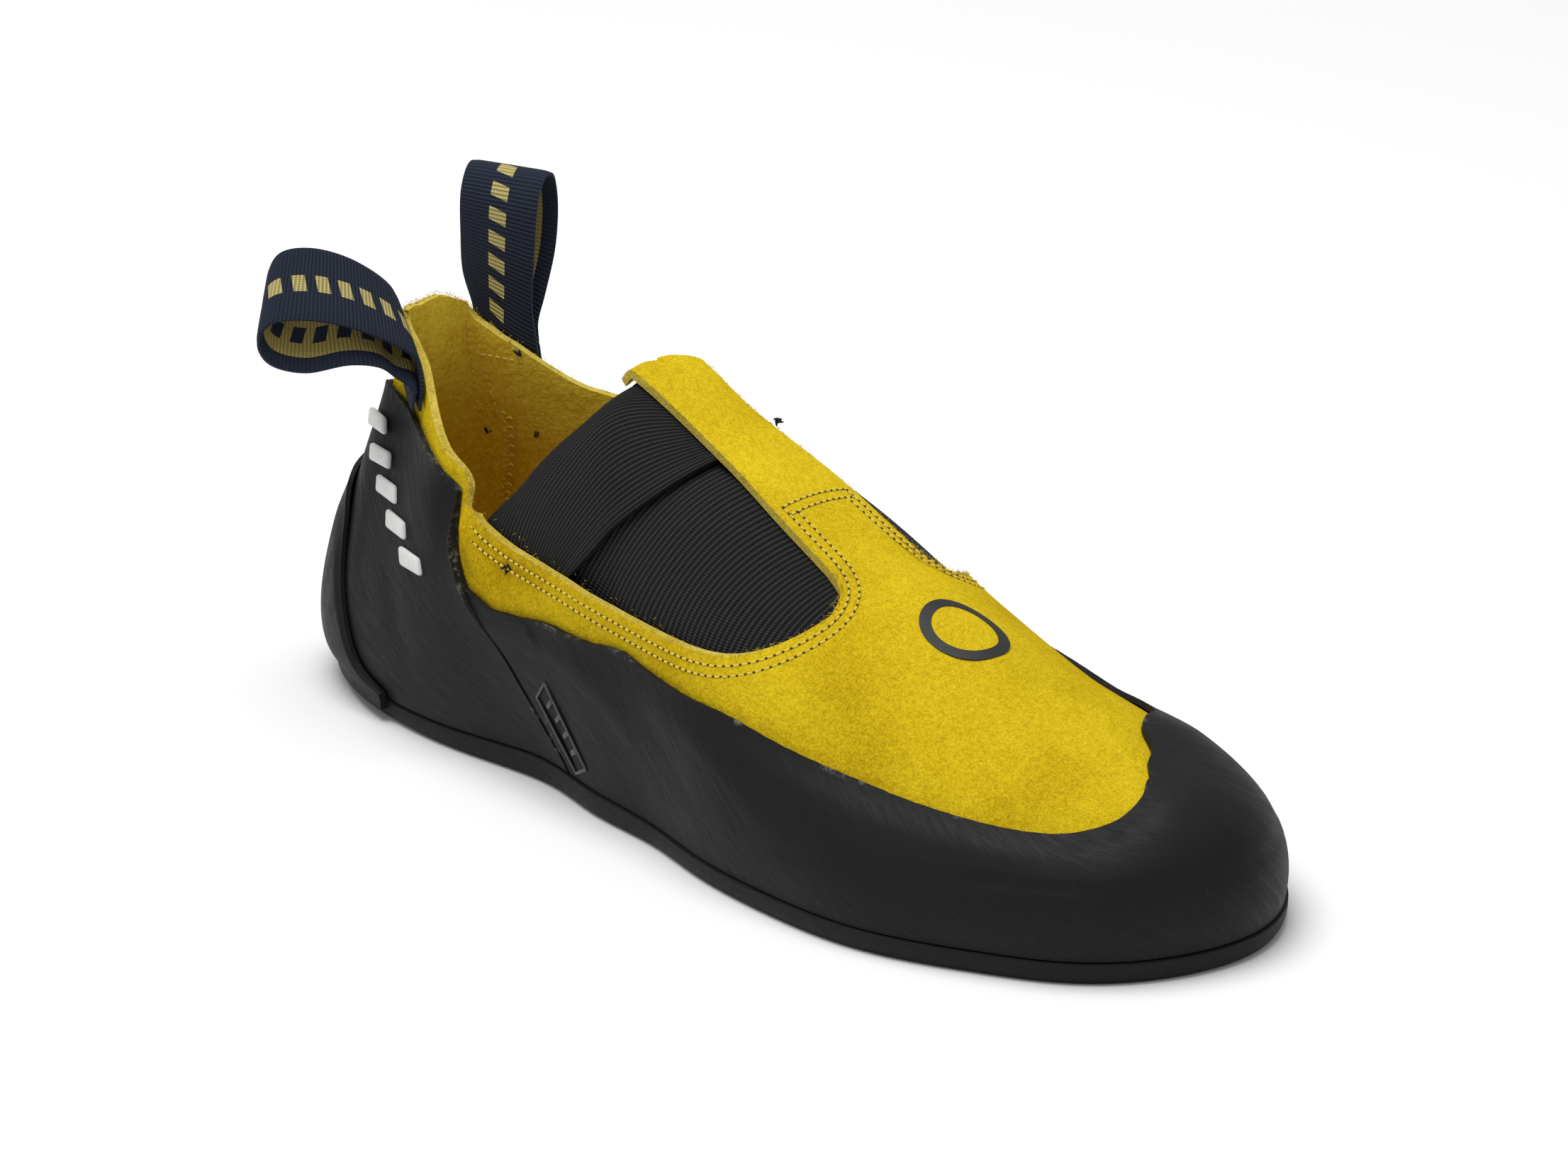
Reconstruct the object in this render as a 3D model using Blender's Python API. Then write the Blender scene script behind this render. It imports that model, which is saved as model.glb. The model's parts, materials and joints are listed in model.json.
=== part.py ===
"""A right-foot climbing slipper: suede upper, elastic gores, rubber rands, outsole and two pull loops.

The toe points along +X, the big-toe side lies towards +Y, and the sole stands on z = 0
with the origin under the ball of the foot.
"""

import bmesh
import bpy
import numpy as np
from mathutils.bvhtree import BVHTree

# Driving sizes, in metres
LENGTH = 0.254
BALL_WIDTH = 0.088
INSTEP_HEIGHT = 0.084
HEEL_HEIGHT = 0.081
BALL_STATION = 0.175

SUEDE = 0.0018
ELASTIC = 0.0010
RAND = 0.0022
RAND_EDGE = 0.0012
HEEL_RUBBER = 0.0024
SOLE = 0.0050
SOLE_LEDGE = 0.0006
HEEL_CUP = 0.0018
HEEL_CUP_EDGE = 0.0010
HEEL_CUP_HEIGHT = 0.62
INSOLE = 0.0020
GAP = 0.0004
SKIN_GAP = 0.0003

STRAP_SHIFT = 0.0022
STRAP_WIDTH = 0.0190
WEB_WIDTH = 0.0170
WEB = 0.0012
LOOP_REACH = 0.0340
NEAR_LOOP_RIB = 1.9
FAR_LOOP_RIB = 1.75
LOOP_SEAT = 0.93

# Ribs of the last, from the back of the heel to the tip of the toe. Along and across place the rib's foot on the
# outer (little toe) and inner (big toe) side, as shares of LENGTH and BALL_WIDTH. The lifts raise the foot of each
# side over the sole and swell pushes the rib out, as shares of BALL_WIDTH; rise says how high the swell sits.
# Reach, drop and fan shape the rib where it arrives at the top, and the last three place its top: the collar or
# the ridge, whose height is a share of HEEL_HEIGHT or INSTEP_HEIGHT.
COLUMNS = (
    "name outer_along outer_across inner_along inner_across outer_lift inner_lift swell rise reach drop fan"
    " top_along top_across top_height"
).split()
HEEL_RIBS = [
    ("heel_back", 0.006, 0.000, 0.006, 0.000, 0.012, 0.012, 0.108, 0.225, -0.12, 0.35, 0, 0.072, 0.000, 0.995),
    ("heel_round", 0.041, 0.180, 0.041, 0.193, 0.000, 0.000, 0.126, 0.130, 0.19, 0.36, 0, 0.072, 0.100, 0.992),
    ("heel_side", 0.125, 0.305, 0.115, 0.290, 0.000, 0.000, 0.092, 0.270, 0.20, 0.35, 0, 0.112, 0.150, 0.920),
    ("ankle", 0.230, 0.342, 0.230, 0.300, 0.004, 0.012, 0.061, 0.387, 0.23, 0.30, 0, 0.200, 0.307, 0.762),
]
INSTEP_RIBS = [
    ("gore_rear", 0.334, 0.334, 0.345, 0.249, 0.014, 0.040, 0.056, 0.454, 0.30, 0.25, 0, 0.247, 0.333, 0.645),
    ("throat_side", 0.413, 0.386, 0.429, 0.251, 0.012, 0.040, 0.055, 0.535, 0.45, 0.15, 0, 0.297, 0.235, 0.850),
    ("throat_top", 0.491, 0.417, 0.494, 0.280, 0.004, 0.020, 0.054, 0.538, 0.60, 0.07, 0, 0.340, 0.000, 1.006),
    ("instep", 0.570, 0.476, 0.586, 0.394, 0.000, 0.004, 0.057, 0.545, 0.56, 0.00, 0, 0.464, 0.000, 0.868),
    ("waist", 0.662, 0.512, 0.678, 0.460, 0.000, 0.000, 0.050, 0.507, 0.38, 0.00, 0, 0.576, 0.000, 0.722),
    ("ball", 0.756, 0.502, 0.754, 0.476, 0.000, 0.000, 0.046, 0.500, 0.22, 0.00, 0, 0.694, 0.000, 0.604),
    ("vamp", 0.848, 0.407, 0.843, 0.432, 0.000, 0.000, 0.058, 0.637, 0.36, 0.00, 20, 0.775, 0.000, 0.492),
    ("toe_side", 0.930, 0.250, 0.920, 0.318, 0.000, 0.002, 0.050, 0.670, 0.48, 0.00, 55, 0.827, 0.000, 0.438),
    ("toe_tip", 0.969, -0.060, 0.969, 0.060, 0.003, 0.003, 0.048, 0.743, 0.62, 0.00, 90, 0.856, 0.000, 0.413),
]
RIBS = [dict(zip(COLUMNS, row)) for row in HEEL_RIBS + INSTEP_RIBS]
TIP = len(RIBS) - 1
ROUND = 2 * TIP
THROAT_TOP = 6

# Soft folds pressed into the wall: rib, share of the rib's height, their half widths, and the depth as a share
# of BALL_WIDTH. A negative depth stands out.
FOLDS = [
    ("collar_notch", 3.30, 1.00, 0.42, 0.26, 0.040),
    ("quarter_roll", 3.95, 0.92, 0.40, 0.20, -0.016),
    ("strap_roll", 6.00, 1.00, 0.40, 0.35, -0.022),
]

# Height of the rubber edges on the upper, as a share of each rib's height: ribs 0 to 12 run up the outer side and
# 12 to 24 come back down the inner side
TOE_RAND_TOP = [(3.5, 0.59), (3.8, 0.585), (4.2, 0.53), (4.5, 0.45), (5.0, 0.35), (5.5, 0.30), (6.1, 0.285), (6.8, 0.30),
                (7.6, 0.34), (8.6, 0.36), (9.9, 0.39), (10.5, 0.43), (11.0, 0.52), (11.4, 0.66), (11.7, 0.78),
                (12.1, 0.85), (12.5, 0.84), (13.1, 0.79), (13.8, 0.68), (15.4, 0.50), (16.5, 0.41), (17.8, 0.33), (19.0, 0.37),
                (19.8, 0.53), (20.2, 0.585), (20.5, 0.59)]
HEEL_RAND_TOP = [(0.0, 0.80), (1.0, 0.84), (2.1, 0.87), (2.8, 0.925), (3.6, 0.945)]
# Front edge of the heel rubber: the rib it has reached at each share of the height
HEEL_RAND_FRONT = [(0.0, 4.50), (0.10, 4.25), (0.25, 4.10), (0.40, 4.00), (0.55, 3.60), (0.75, 3.30), (1.0, 3.20)]
# The toe rubber starts this far in front of the heel rubber, as a share of a rib's spacing
RAND_SPLIT = 0.04
# Top edge of the part of the sole that climbs the heel, as shares of HEEL_CUP_HEIGHT
HEEL_CUP_TOP = [(0.0, 1.00), (0.8, 0.98), (1.3, 0.84), (1.6, 0.50), (1.9, 0.15), (2.2, 0.05)]
# How much of the foot's lift the sole's underside keeps on the outer side, and how far in from the sole's edge its
# corner is rounded, as a share of SOLE, each at a rib
UNDER_OUTER = [(0.0, 1.00), (2.0, 1.00), (3.0, 0.15), (5.5, 0.15), (7.0, 1.00), (12.0, 1.00)]
SOLE_ROUNDING = [(0.0, 1.30), (1.2, 1.10), (2.2, 0.60), (3.0, 0.40), (5.0, 0.35), (8.0, 0.35), (12.0, 0.40)]

# The quarter's edge under each gore, in side view, as shares of LENGTH and INSTEP_HEIGHT
QUARTER_EDGE = [(0.246, 0.652), (0.262, 0.628), (0.305, 0.602), (0.368, 0.585), (0.422, 0.562), (0.490, 0.545),
                (0.537, 0.540), (0.565, 0.546), (0.586, 0.568), (0.603, 0.604), (0.612, 0.650)]
# The strap's half width along its length, as shares of LENGTH and of half of STRAP_WIDTH
STRAP_EDGE = [(0.200, 1.02), (0.335, 1.00), (0.394, 0.93), (0.441, 1.00), (0.472, 1.08), (0.512, 1.19),
              (0.555, 1.26), (0.583, 1.33), (0.598, 1.50), (0.606, 1.85), (0.611, 2.40)]

# The elastic bands, from the back edge of each to its front edge. A row is one line of the weave, from its end
# tucked under the quarter up to the ridge, as pairs of a rib number and a share of the rib's height.
REAR_BAND = [
    ((4.00, 0.84), (4.00, 0.98), (4.50, 1.00), (5.05, 0.985), (5.60, 0.955), (6.20, 1.00)),
    ((4.45, 0.60), (4.85, 0.69), (5.30, 0.745), (5.75, 0.80), (6.15, 0.88), (6.52, 1.00)),
    ((4.85, 0.43), (5.45, 0.473), (6.05, 0.53), (6.45, 0.615), (6.70, 0.77), (6.84, 1.00)),
]
FRONT_BAND = [
    ((4.60, 0.42), (5.15, 0.485), (5.70, 0.545), (6.12, 0.635), (6.40, 0.79), (6.55, 1.00)),
    ((5.70, 0.27), (6.05, 0.365), (6.42, 0.465), (6.75, 0.61), (7.00, 0.79), (7.15, 1.00)),
    ((7.10, 0.30), (7.22, 0.41), (7.40, 0.54), (7.60, 0.68), (7.78, 0.83), (7.90, 1.00)),
    ((8.40, 0.50), (8.44, 0.59), (8.48, 0.69), (8.54, 0.79), (8.60, 0.89), (8.65, 1.00)),
]

# The free part of each pull loop, from its inner to its outer leg, as shares of LOOP_REACH: out from the collar
# and up, and how far the web's width has turned away from the collar's run (down and outwards)
FAR_LOOP = [(0.04, 0.22, 0.0, 0.0), (0.05, 0.50, 0.0, 0.0), (0.08, 0.76, 0.0, 0.0), (0.16, 0.90, 0.0, 0.0),
            (0.26, 0.94, 0.0, 0.0), (0.36, 0.88, 0.0, 0.0), (0.41, 0.68, 0.0, 0.0), (0.38, 0.45, 0.0, 0.0),
            (0.26, 0.24, 0.0, 0.0), (0.17, 0.10, 0.0, 0.0)]
NEAR_LOOP = [(0.07, 0.18, 0.1, 0.0), (0.18, 0.31, 0.2, 0.1), (0.42, 0.46, 0.33, 0.22), (0.68, 0.55, 0.45, 0.36),
             (0.90, 0.55, 0.55, 0.5), (0.98, 0.43, 0.55, 0.5), (0.92, 0.29, 0.5, 0.4), (0.72, 0.21, 0.38, 0.28),
             (0.48, 0.22, 0.22, 0.12), (0.31, 0.17, 0.1, 0.0), (0.20, 0.07, 0.0, 0.0)]

# How finely the ribs are drawn: up to a rib, in so many steps, with the soft folds of the collar finest
OUTLINE_STEPS = [(0.0, 0), (2.25, 6), (5.25, 12), (6.0, 3), (10.5, 10), (12.0, 5)]
WALL_STEPS = 11


def column(name):
    return np.array([rib[name] for rib in RIBS])


def closed_curve(values, at):
    """A smooth closed curve through the values, read at the rib numbers."""
    values = np.asarray(values, float)
    count = len(values)
    rows = 4 * np.eye(count) + np.roll(np.eye(count), 1, 0) + np.roll(np.eye(count), -1, 0)
    slopes = np.linalg.solve(rows, 3 * (np.roll(values, -1) - np.roll(values, 1)))
    at = np.asarray(at, float) % count
    first = np.floor(at).astype(int) % count
    second = (first + 1) % count
    return hermite(at - np.floor(at), 1.0, values[first], values[second], slopes[first], slopes[second])


def hermite(t, step, start, end, slope_start, slope_end):
    return (
        (1 + 2 * t) * (1 - t) ** 2 * start
        + t * (1 - t) ** 2 * step * slope_start
        + t * t * (3 - 2 * t) * end
        + t * t * (t - 1) * step * slope_end
    )


def open_curve(knots, values, at, flat_end=False):
    """A curve through the values that never overshoots them."""
    knots = np.asarray(knots, float)
    values = np.asarray(values, float)
    steps = np.diff(knots)
    rates = np.diff(values) / steps
    slopes = np.zeros(len(values))
    for i in range(1, len(knots) - 1):
        if rates[i - 1] * rates[i] > 0:
            before = 2 * steps[i] + steps[i - 1]
            after = steps[i] + 2 * steps[i - 1]
            slopes[i] = (before + after) / (before / rates[i - 1] + after / rates[i])
    slopes[0] = rates[0]
    slopes[-1] = 0 if flat_end else rates[-1]
    at = np.clip(np.asarray(at, float), knots[0], knots[-1])
    i = np.clip(np.searchsorted(knots, at, side="right") - 1, 0, len(steps) - 1)
    t = (at - knots[i]) / steps[i]
    return hermite(t, steps[i], values[i], values[i + 1], slopes[i], slopes[i + 1])


def table(rows, at):
    knots, values = zip(*rows)
    return open_curve(knots, values, at)


def unit(vectors):
    return vectors / np.maximum(np.linalg.norm(vectors, axis=-1, keepdims=True), 1e-12)


def ease(t):
    t = np.clip(t, 0, 1)
    return t * t * (3 - 2 * t)


def points(x, y, z):
    return np.stack(np.broadcast_arrays(x, y, z), -1).astype(float)


def rib_number(s):
    s = np.asarray(s, float) % ROUND
    return np.where(s <= TIP, s, ROUND - s)


def outline_ribs():
    """The rib numbers that are drawn, once round the shoe."""
    half = [np.zeros(1)]
    for (start, _), (end, steps) in zip(OUTLINE_STEPS, OUTLINE_STEPS[1:]):
        half.append(np.linspace(start, end, steps + 1)[1:])
    half = np.concatenate(half)
    return np.concatenate([half, ROUND - half[-2:0:-1]])


def foot_of(s):
    """The rib's foot on the last's outline, and the level direction that leads out of the shoe there."""
    outer_x, inner_x = column("outer_along"), column("inner_along")[TIP - 1 : 0 : -1]
    outer_y, inner_y = column("outer_across"), column("inner_across")[TIP - 1 : 0 : -1]
    along = np.concatenate([outer_x, inner_x]) * LENGTH
    across = np.concatenate([-outer_y, inner_y]) * BALL_WIDTH
    step = 0.01
    x, y = closed_curve(along, s), closed_curve(across, s)
    run_x = closed_curve(along, s + step) - closed_curve(along, s - step)
    run_y = closed_curve(across, s + step) - closed_curve(across, s - step)
    k, on_outer = rib_number(s), np.asarray(s, float) % ROUND <= TIP
    outer_lift, inner_lift = (open_curve(range(TIP + 1), column(name), k) for name in ("outer_lift", "inner_lift"))
    lift = np.where(on_outer, outer_lift, inner_lift) * BALL_WIDTH
    return points(x, y, SOLE + lift), unit(points(run_y, -run_x, 0 * x)), lift


def top_of(s):
    """The rib's top: on the collar as far as the throat, and on the ridge from there to the toe."""
    k = rib_number(s)
    side = np.where(np.asarray(s, float) % ROUND <= TIP, -1.0, 1.0)
    heights = column("top_height") * INSTEP_HEIGHT
    heights[: len(HEEL_RIBS)] *= HEEL_HEIGHT / INSTEP_HEIGHT
    collar, ridge = np.arange(THROAT_TOP + 1), np.arange(THROAT_TOP, TIP + 1)
    on_collar = k < THROAT_TOP

    def joined(values):
        early = open_curve(collar, values[: THROAT_TOP + 1], k, flat_end=True)
        late = open_curve(ridge, values[THROAT_TOP:], k)
        return np.where(on_collar, early, late)

    x = joined(column("top_along") * LENGTH)
    z = joined(heights)
    across = column("top_across")[: THROAT_TOP + 1] * BALL_WIDTH
    y = np.where(on_collar, open_curve(collar, across, k), 0.0) * side
    step = 0.05
    lower, upper = np.clip(k - step, THROAT_TOP, TIP - step), np.clip(k + step, THROAT_TOP + step, TIP)
    ridge_x = open_curve(ridge, column("top_along")[THROAT_TOP:] * LENGTH, upper)
    ridge_x = ridge_x - open_curve(ridge, column("top_along")[THROAT_TOP:] * LENGTH, lower)
    ridge_z = open_curve(ridge, heights[THROAT_TOP:], upper) - open_curve(ridge, heights[THROAT_TOP:], lower)
    return points(x, y, z), unit(points(ridge_x, 0 * x, ridge_z)), side


def fold_depth(s, v):
    """How far the soft folds push the wall inwards."""
    depth = 0.0
    for _, rib, height, wide, tall, deep in FOLDS:
        distance = ((rib_number(s) - rib) / wide) ** 2 + ((v - height) / tall) ** 2
        depth = depth + deep * BALL_WIDTH * np.exp(-distance)
    return depth


def bare_form(s, v):
    s, v = np.broadcast_arrays(np.asarray(s, float), np.asarray(v, float))
    foot, out, _ = foot_of(s)
    top, ridge, side = top_of(s)
    k = rib_number(s)
    level = (1, 1, 0)
    tall = (top - foot)[..., 2]
    deep = np.linalg.norm((top - foot) * level, axis=-1)
    knots = range(TIP + 1)
    swell = open_curve(knots, column("swell") * BALL_WIDTH, k)
    rise = open_curve(knots, column("rise"), k) * tall
    reach = open_curve(knots, column("reach"), k) * deep
    fan = np.radians(open_curve(knots, column("fan"), k))
    on_ridge = ease((k - 4.0) / 2.0)
    drop = open_curve(knots, column("drop"), k) * tall * (1 - on_ridge)
    across = points(0 * k, side, 0 * k)
    arrive = across * np.cos(fan)[..., None] + ridge * np.sin(fan)[..., None]
    arrive = unit(out * (1 - on_ridge)[..., None] + arrive * on_ridge[..., None])
    up = np.array([0, 0, 1.0])
    low = foot + out * swell[..., None] + up * rise[..., None]
    high = top + arrive * reach[..., None] - up * drop[..., None]
    v = v[..., None]
    return (1 - v) ** 3 * foot + 3 * v * (1 - v) ** 2 * low + 3 * v * v * (1 - v) * high + v**3 * top


def form(s, v, offset=0.0):
    """A point of the shoe's form at rib s and share v of its height, pushed out along the wall by the offset."""
    s, v = np.broadcast_arrays(np.asarray(s, float), np.asarray(v, float))
    offset = np.broadcast_to(np.asarray(offset, float), s.shape)
    step = 0.02
    along = bare_form(s + step, v) - bare_form(s - step, v)
    rising = bare_form(s, np.minimum(v + step, 1)) - bare_form(s, np.maximum(v - step, 0))
    wall = unit(np.cross(along, rising))
    _, ridge, _ = top_of(s)
    crown = unit(np.cross(ridge, np.broadcast_to([0, 1.0, 0], ridge.shape)))
    at_ridge = ((v > 0.999) & (rib_number(s) >= THROAT_TOP - 1e-6))[..., None]
    wall = np.where(at_ridge, crown, wall)
    _, out, _ = foot_of(s)
    upright = ease(v / 0.2)[..., None]
    wall = unit(out * (1 - upright) + wall * upright)
    return bare_form(s, v) + wall * (offset - fold_depth(s, v))[..., None]


def collection(name):
    made = bpy.data.collections.new(name)
    bpy.context.scene.collection.children.link(made)
    return made


def material(name, colour, roughness):
    made = bpy.data.materials.new(name)
    made.use_nodes = True
    shader = made.node_tree.nodes["Principled BSDF"]
    shader.inputs["Base Color"].default_value = (*colour, 1)
    shader.inputs["Roughness"].default_value = roughness
    shader.inputs["Metallic"].default_value = 0
    return made


def place(name, mesh, home, surface=None):
    made = bpy.data.objects.new(name, mesh)
    home.objects.link(made)
    made.location.x = -BALL_STATION
    if surface:
        mesh.materials.append(surface)
        mesh.shade_smooth()
        mesh.set_sharp_from_angle(angle=np.radians(50))
    return made


def finish(name, work, home, surface):
    bmesh.ops.remove_doubles(work, verts=work.verts, dist=1e-5)
    bmesh.ops.recalc_face_normals(work, faces=work.faces)
    mesh = bpy.data.meshes.new(name)
    work.to_mesh(mesh)
    work.free()
    return place(name, mesh, home, surface)


def add_grid(work, grid, around=False):
    verts = [[work.verts.new(p) for p in row] for row in grid]
    rows = len(verts)
    for i in range(rows if around else rows - 1):
        here, there = verts[i], verts[(i + 1) % rows]
        for j in range(len(here) - 1):
            work.faces.new((here[j], there[j], there[j + 1], here[j + 1]))
    return verts


def add_rim(work, outer, inner):
    for a, b, c, d in zip(outer, outer[1:], inner[1:], inner):
        work.faces.new((a, b, c, d))


def wall_between(name, outer, inner, home, surface, around=False, open_tops=None):
    """The solid between two grids of the form, closed by rims along its edges."""
    work = bmesh.new()
    skin, lining = add_grid(work, outer, around), add_grid(work, inner, around)
    rows = len(skin)
    for i in range(rows if around else rows - 1):
        j = (i + 1) % rows
        add_rim(work, [skin[i][0], skin[j][0]], [lining[i][0], lining[j][0]])
        if open_tops is None or open_tops[i]:
            add_rim(work, [skin[i][-1], skin[j][-1]], [lining[i][-1], lining[j][-1]])
    if not around:
        add_rim(work, skin[0], lining[0])
        add_rim(work, skin[-1], lining[-1])
    return finish(name, work, home, surface)


def prism(name, outline, axis, reach, home):
    """A closed outline, drawn square to the axis, run through the shoe along it."""
    work = bmesh.new()
    ends = {"Y": lambda a, b, c: (a, c, b), "Z": lambda a, b, c: (a, b, c)}[axis]
    face = work.faces.new([work.verts.new(ends(a, b, reach[0])) for a, b in outline])
    pushed = bmesh.ops.extrude_face_region(work, geom=[face])
    moved = [v for v in pushed["geom"] if isinstance(v, bmesh.types.BMVert)]
    bmesh.ops.translate(work, verts=moved, vec=ends(0, 0, reach[1] - reach[0]))
    cutter = finish(name, work, home, None)
    cutter.hide_render = True
    cutter.display_type = "WIRE"
    return cutter


def boolean(target, other, operation):
    cut = target.modifiers.new(other.name, "BOOLEAN")
    cut.object = other
    cut.operation = operation
    cut.solver = "EXACT"


def thinned(full, edge, share, start):
    """A thickness that tapers to its edge over the last part of the height."""
    return full + (edge - full) * ease((share - start) / (1 - start))


def make_upper(home, cutters, surface):
    s = outline_ribs()
    v = np.linspace(0, 1, WALL_STEPS + 1)
    grid_s, grid_v = np.meshgrid(s, v, indexing="ij")
    tops = rib_number(0.5 * (s + np.append(s[1:], ROUND))) < THROAT_TOP
    upper = wall_between(
        "upper", form(grid_s, grid_v), form(grid_s, grid_v, -SUEDE), home, surface, around=True, open_tops=tops
    )
    edge = [(x * LENGTH, z * INSTEP_HEIGHT) for x, z in QUARTER_EDGE]
    above = 1.6 * max(INSTEP_HEIGHT, HEEL_HEIGHT)
    window = edge + [(edge[-1][0], above), (edge[0][0], above)]
    for side, label in ((-1, "outer"), (1, "inner")):
        strap = [(x * LENGTH, STRAP_SHIFT + side * w * STRAP_WIDTH / 2) for x, w in STRAP_EDGE]
        plan = strap + [(strap[-1][0], side * BALL_WIDTH), (strap[0][0], side * BALL_WIDTH)]
        cutter = prism(f"cut_gore_{label}", window, "Y", (-BALL_WIDTH, BALL_WIDTH), cutters)
        limit = prism(f"cut_plan_{label}", plan, "Z", (0.2 * INSTEP_HEIGHT, above + SUEDE), cutters)
        boolean(cutter, limit, "INTERSECT")
        boolean(upper, cutter, "DIFFERENCE")
    return upper


def form_skin():
    """The bare form as a fine mesh, to find the nearest point of it."""
    s, v = np.linspace(0, ROUND, 12 * ROUND + 1), np.linspace(0, 1, 41)
    grid = form(*np.meshgrid(s, v, indexing="ij"))
    first = np.arange((len(s) - 1) * len(v)).reshape(len(s) - 1, len(v))[:, :-1].ravel()
    quads = np.stack([first, first + len(v), first + len(v) + 1, first + 1], 1)
    return BVHTree.FromPolygons(grid.reshape(-1, 3).tolist(), quads.tolist())


def make_band(name, rows, depth_of, home, surface, along_steps, across_steps):
    """An elastic band from one quarter, over the ridge and under the strap, to the other quarter."""
    rows = np.array(rows)
    k, v = rows[..., 0], rows[..., 1]
    net = form(np.concatenate([k, ROUND - k[:, -2::-1]], 1), np.concatenate([v, v[:, -2::-1]], 1))
    a = np.linspace(0, 1, along_steps + 1)
    b = np.linspace(0, 1, 2 * across_steps + 1)
    grid = catmull(net, a * (len(net) - 1))
    grid = catmull(grid.swapaxes(0, 1), b * (net.shape[1] - 1)).swapaxes(0, 1)
    inward = unit(np.cross(np.gradient(grid, axis=1), np.gradient(grid, axis=0)))
    skin = form_skin()
    for i, j in np.ndindex(grid.shape[:2]):
        grid[i, j], wall = (np.array(found) for found in skin.find_nearest(grid[i, j])[:2])
        inward[i, j] = wall * np.sign(inward[i, j] @ wall)
    depth = depth_of(a)[:, None, None]
    return wall_between(name, grid + inward * depth, grid + inward * (depth + ELASTIC), home, surface)


def make_toe_rand(home, surface):
    def front(v):
        return table(HEEL_RAND_FRONT, v) + RAND_SPLIT

    start = front(TOE_RAND_TOP[0][1])
    top_s = np.linspace(start, ROUND - start, 53)[:, None]
    top_v = table(TOE_RAND_TOP, top_s)
    share = (top_s - front(top_v)) / (ROUND - 2 * front(top_v))
    b = np.linspace(0, 1, 8)[None, :]
    v = b * top_v
    s = front(v) + (ROUND - 2 * front(v)) * share
    thick = thinned(RAND, RAND_EDGE, b, 0.75)
    return wall_between("toe_rand", form(s, v, GAP + thick), form(s, v, GAP), home, surface)


def make_heel_rand(home, surface):
    a = np.linspace(-1, 1, 31)[:, None]
    b = np.linspace(0, 1, 11)[None, :]
    v = b * table(HEEL_RAND_TOP, abs(a) * HEEL_RAND_FRONT[-1][1])
    s = a * table(HEEL_RAND_FRONT, v)
    thick = thinned(HEEL_RUBBER, RAND_EDGE, b, 0.75)
    return wall_between("heel_rand", form(s, v, GAP + thick), form(s, v, GAP), home, surface)


def spine_of(s, foot):
    """The middle line of the sole, which the ribs of both sides share."""
    k = np.clip(rib_number(s), 1.3, TIP - 1.3)
    outer, _, _ = foot_of(k)
    inner, _, _ = foot_of(ROUND - k)
    return 0.5 * (outer + inner)


def ring_solid(name, s, rings, home, surface):
    """A solid whose section at each rib is a chain of points from the middle underneath, out and back on top."""
    work = bmesh.new()
    add_grid(work, np.stack(rings, 1), around=True)
    return finish(name, work, home, surface)


def make_outsole(home, cutters, surface):
    s = outline_ribs()
    foot, out, lift = foot_of(s)
    middle = spine_of(s, foot)
    k = rib_number(s)
    cup = ease((2.4 - k) / 0.8)
    ledge = GAP + RAND + SOLE_LEDGE + (HEEL_CUP + HEEL_RUBBER - RAND - SOLE_LEDGE) * cup
    rounding = SOLE * table(SOLE_ROUNDING, k)
    middle_lift = middle[..., 2] - SOLE
    under_lift = lift * np.where(s <= TIP, table(UNDER_OUTER, k), 1.0)

    def at(inset, height, share=None):
        level = foot + out * (ledge - inset)[..., None]
        if share is not None:
            level = middle + (level - middle) * share
        level[..., 2] = height
        return level

    under = [
        points(middle[..., 0], middle[..., 1], middle_lift),
        at(rounding, 0.5 * (under_lift + middle_lift), 0.55),
        at(rounding, under_lift),
    ]
    corner = 0.72 * SOLE + lift - under_lift
    side = [at(rounding * (1 - np.sin(t)), under_lift + corner * (1 - np.cos(t))) for t in (0.5, 1.0, np.pi / 2)]
    top = SOLE - SKIN_GAP
    over = [
        at(0 * k, lift + top),
        points(middle[..., 0], middle[..., 1], middle_lift + top),
    ]
    sole = ring_solid("outsole", s, under + side + over, home, surface)
    end = HEEL_CUP_TOP[-1][0]
    cup_s = np.linspace(-end, end, 23)[:, None]
    b = np.linspace(0, 1, 8)[None, :]
    v = b * table(HEEL_CUP_TOP, abs(cup_s)) * HEEL_CUP_HEIGHT
    thick = thinned(HEEL_CUP, HEEL_CUP_EDGE, b, 0.8)
    inner_offset = 2 * GAP + HEEL_RUBBER
    outer, inner = form(cup_s, v, inner_offset + thick), form(cup_s, v, inner_offset)
    outer[:, 0, 2] -= 0.4 * SOLE
    inner[:, 0, 2] -= 0.4 * SOLE
    climb = wall_between("heel_cup", outer, inner, cutters, None)
    climb.hide_render = True
    climb.display_type = "WIRE"
    boolean(sole, climb, "UNION")
    return sole


def make_insole(home, surface):
    s = outline_ribs()
    foot, out, lift = foot_of(s)
    middle = spine_of(s, foot)
    edge = foot - out * (SUEDE + 2 * GAP)

    def level(share, height):
        ring = middle + (edge - middle) * share
        ring[..., 2] += height
        return ring

    rings = [level(0.0, 0.0), level(1.0, 0.0), level(1.0, INSOLE), level(0.0, INSOLE)]
    return ring_solid("insole", s, rings, home, surface)


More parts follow.
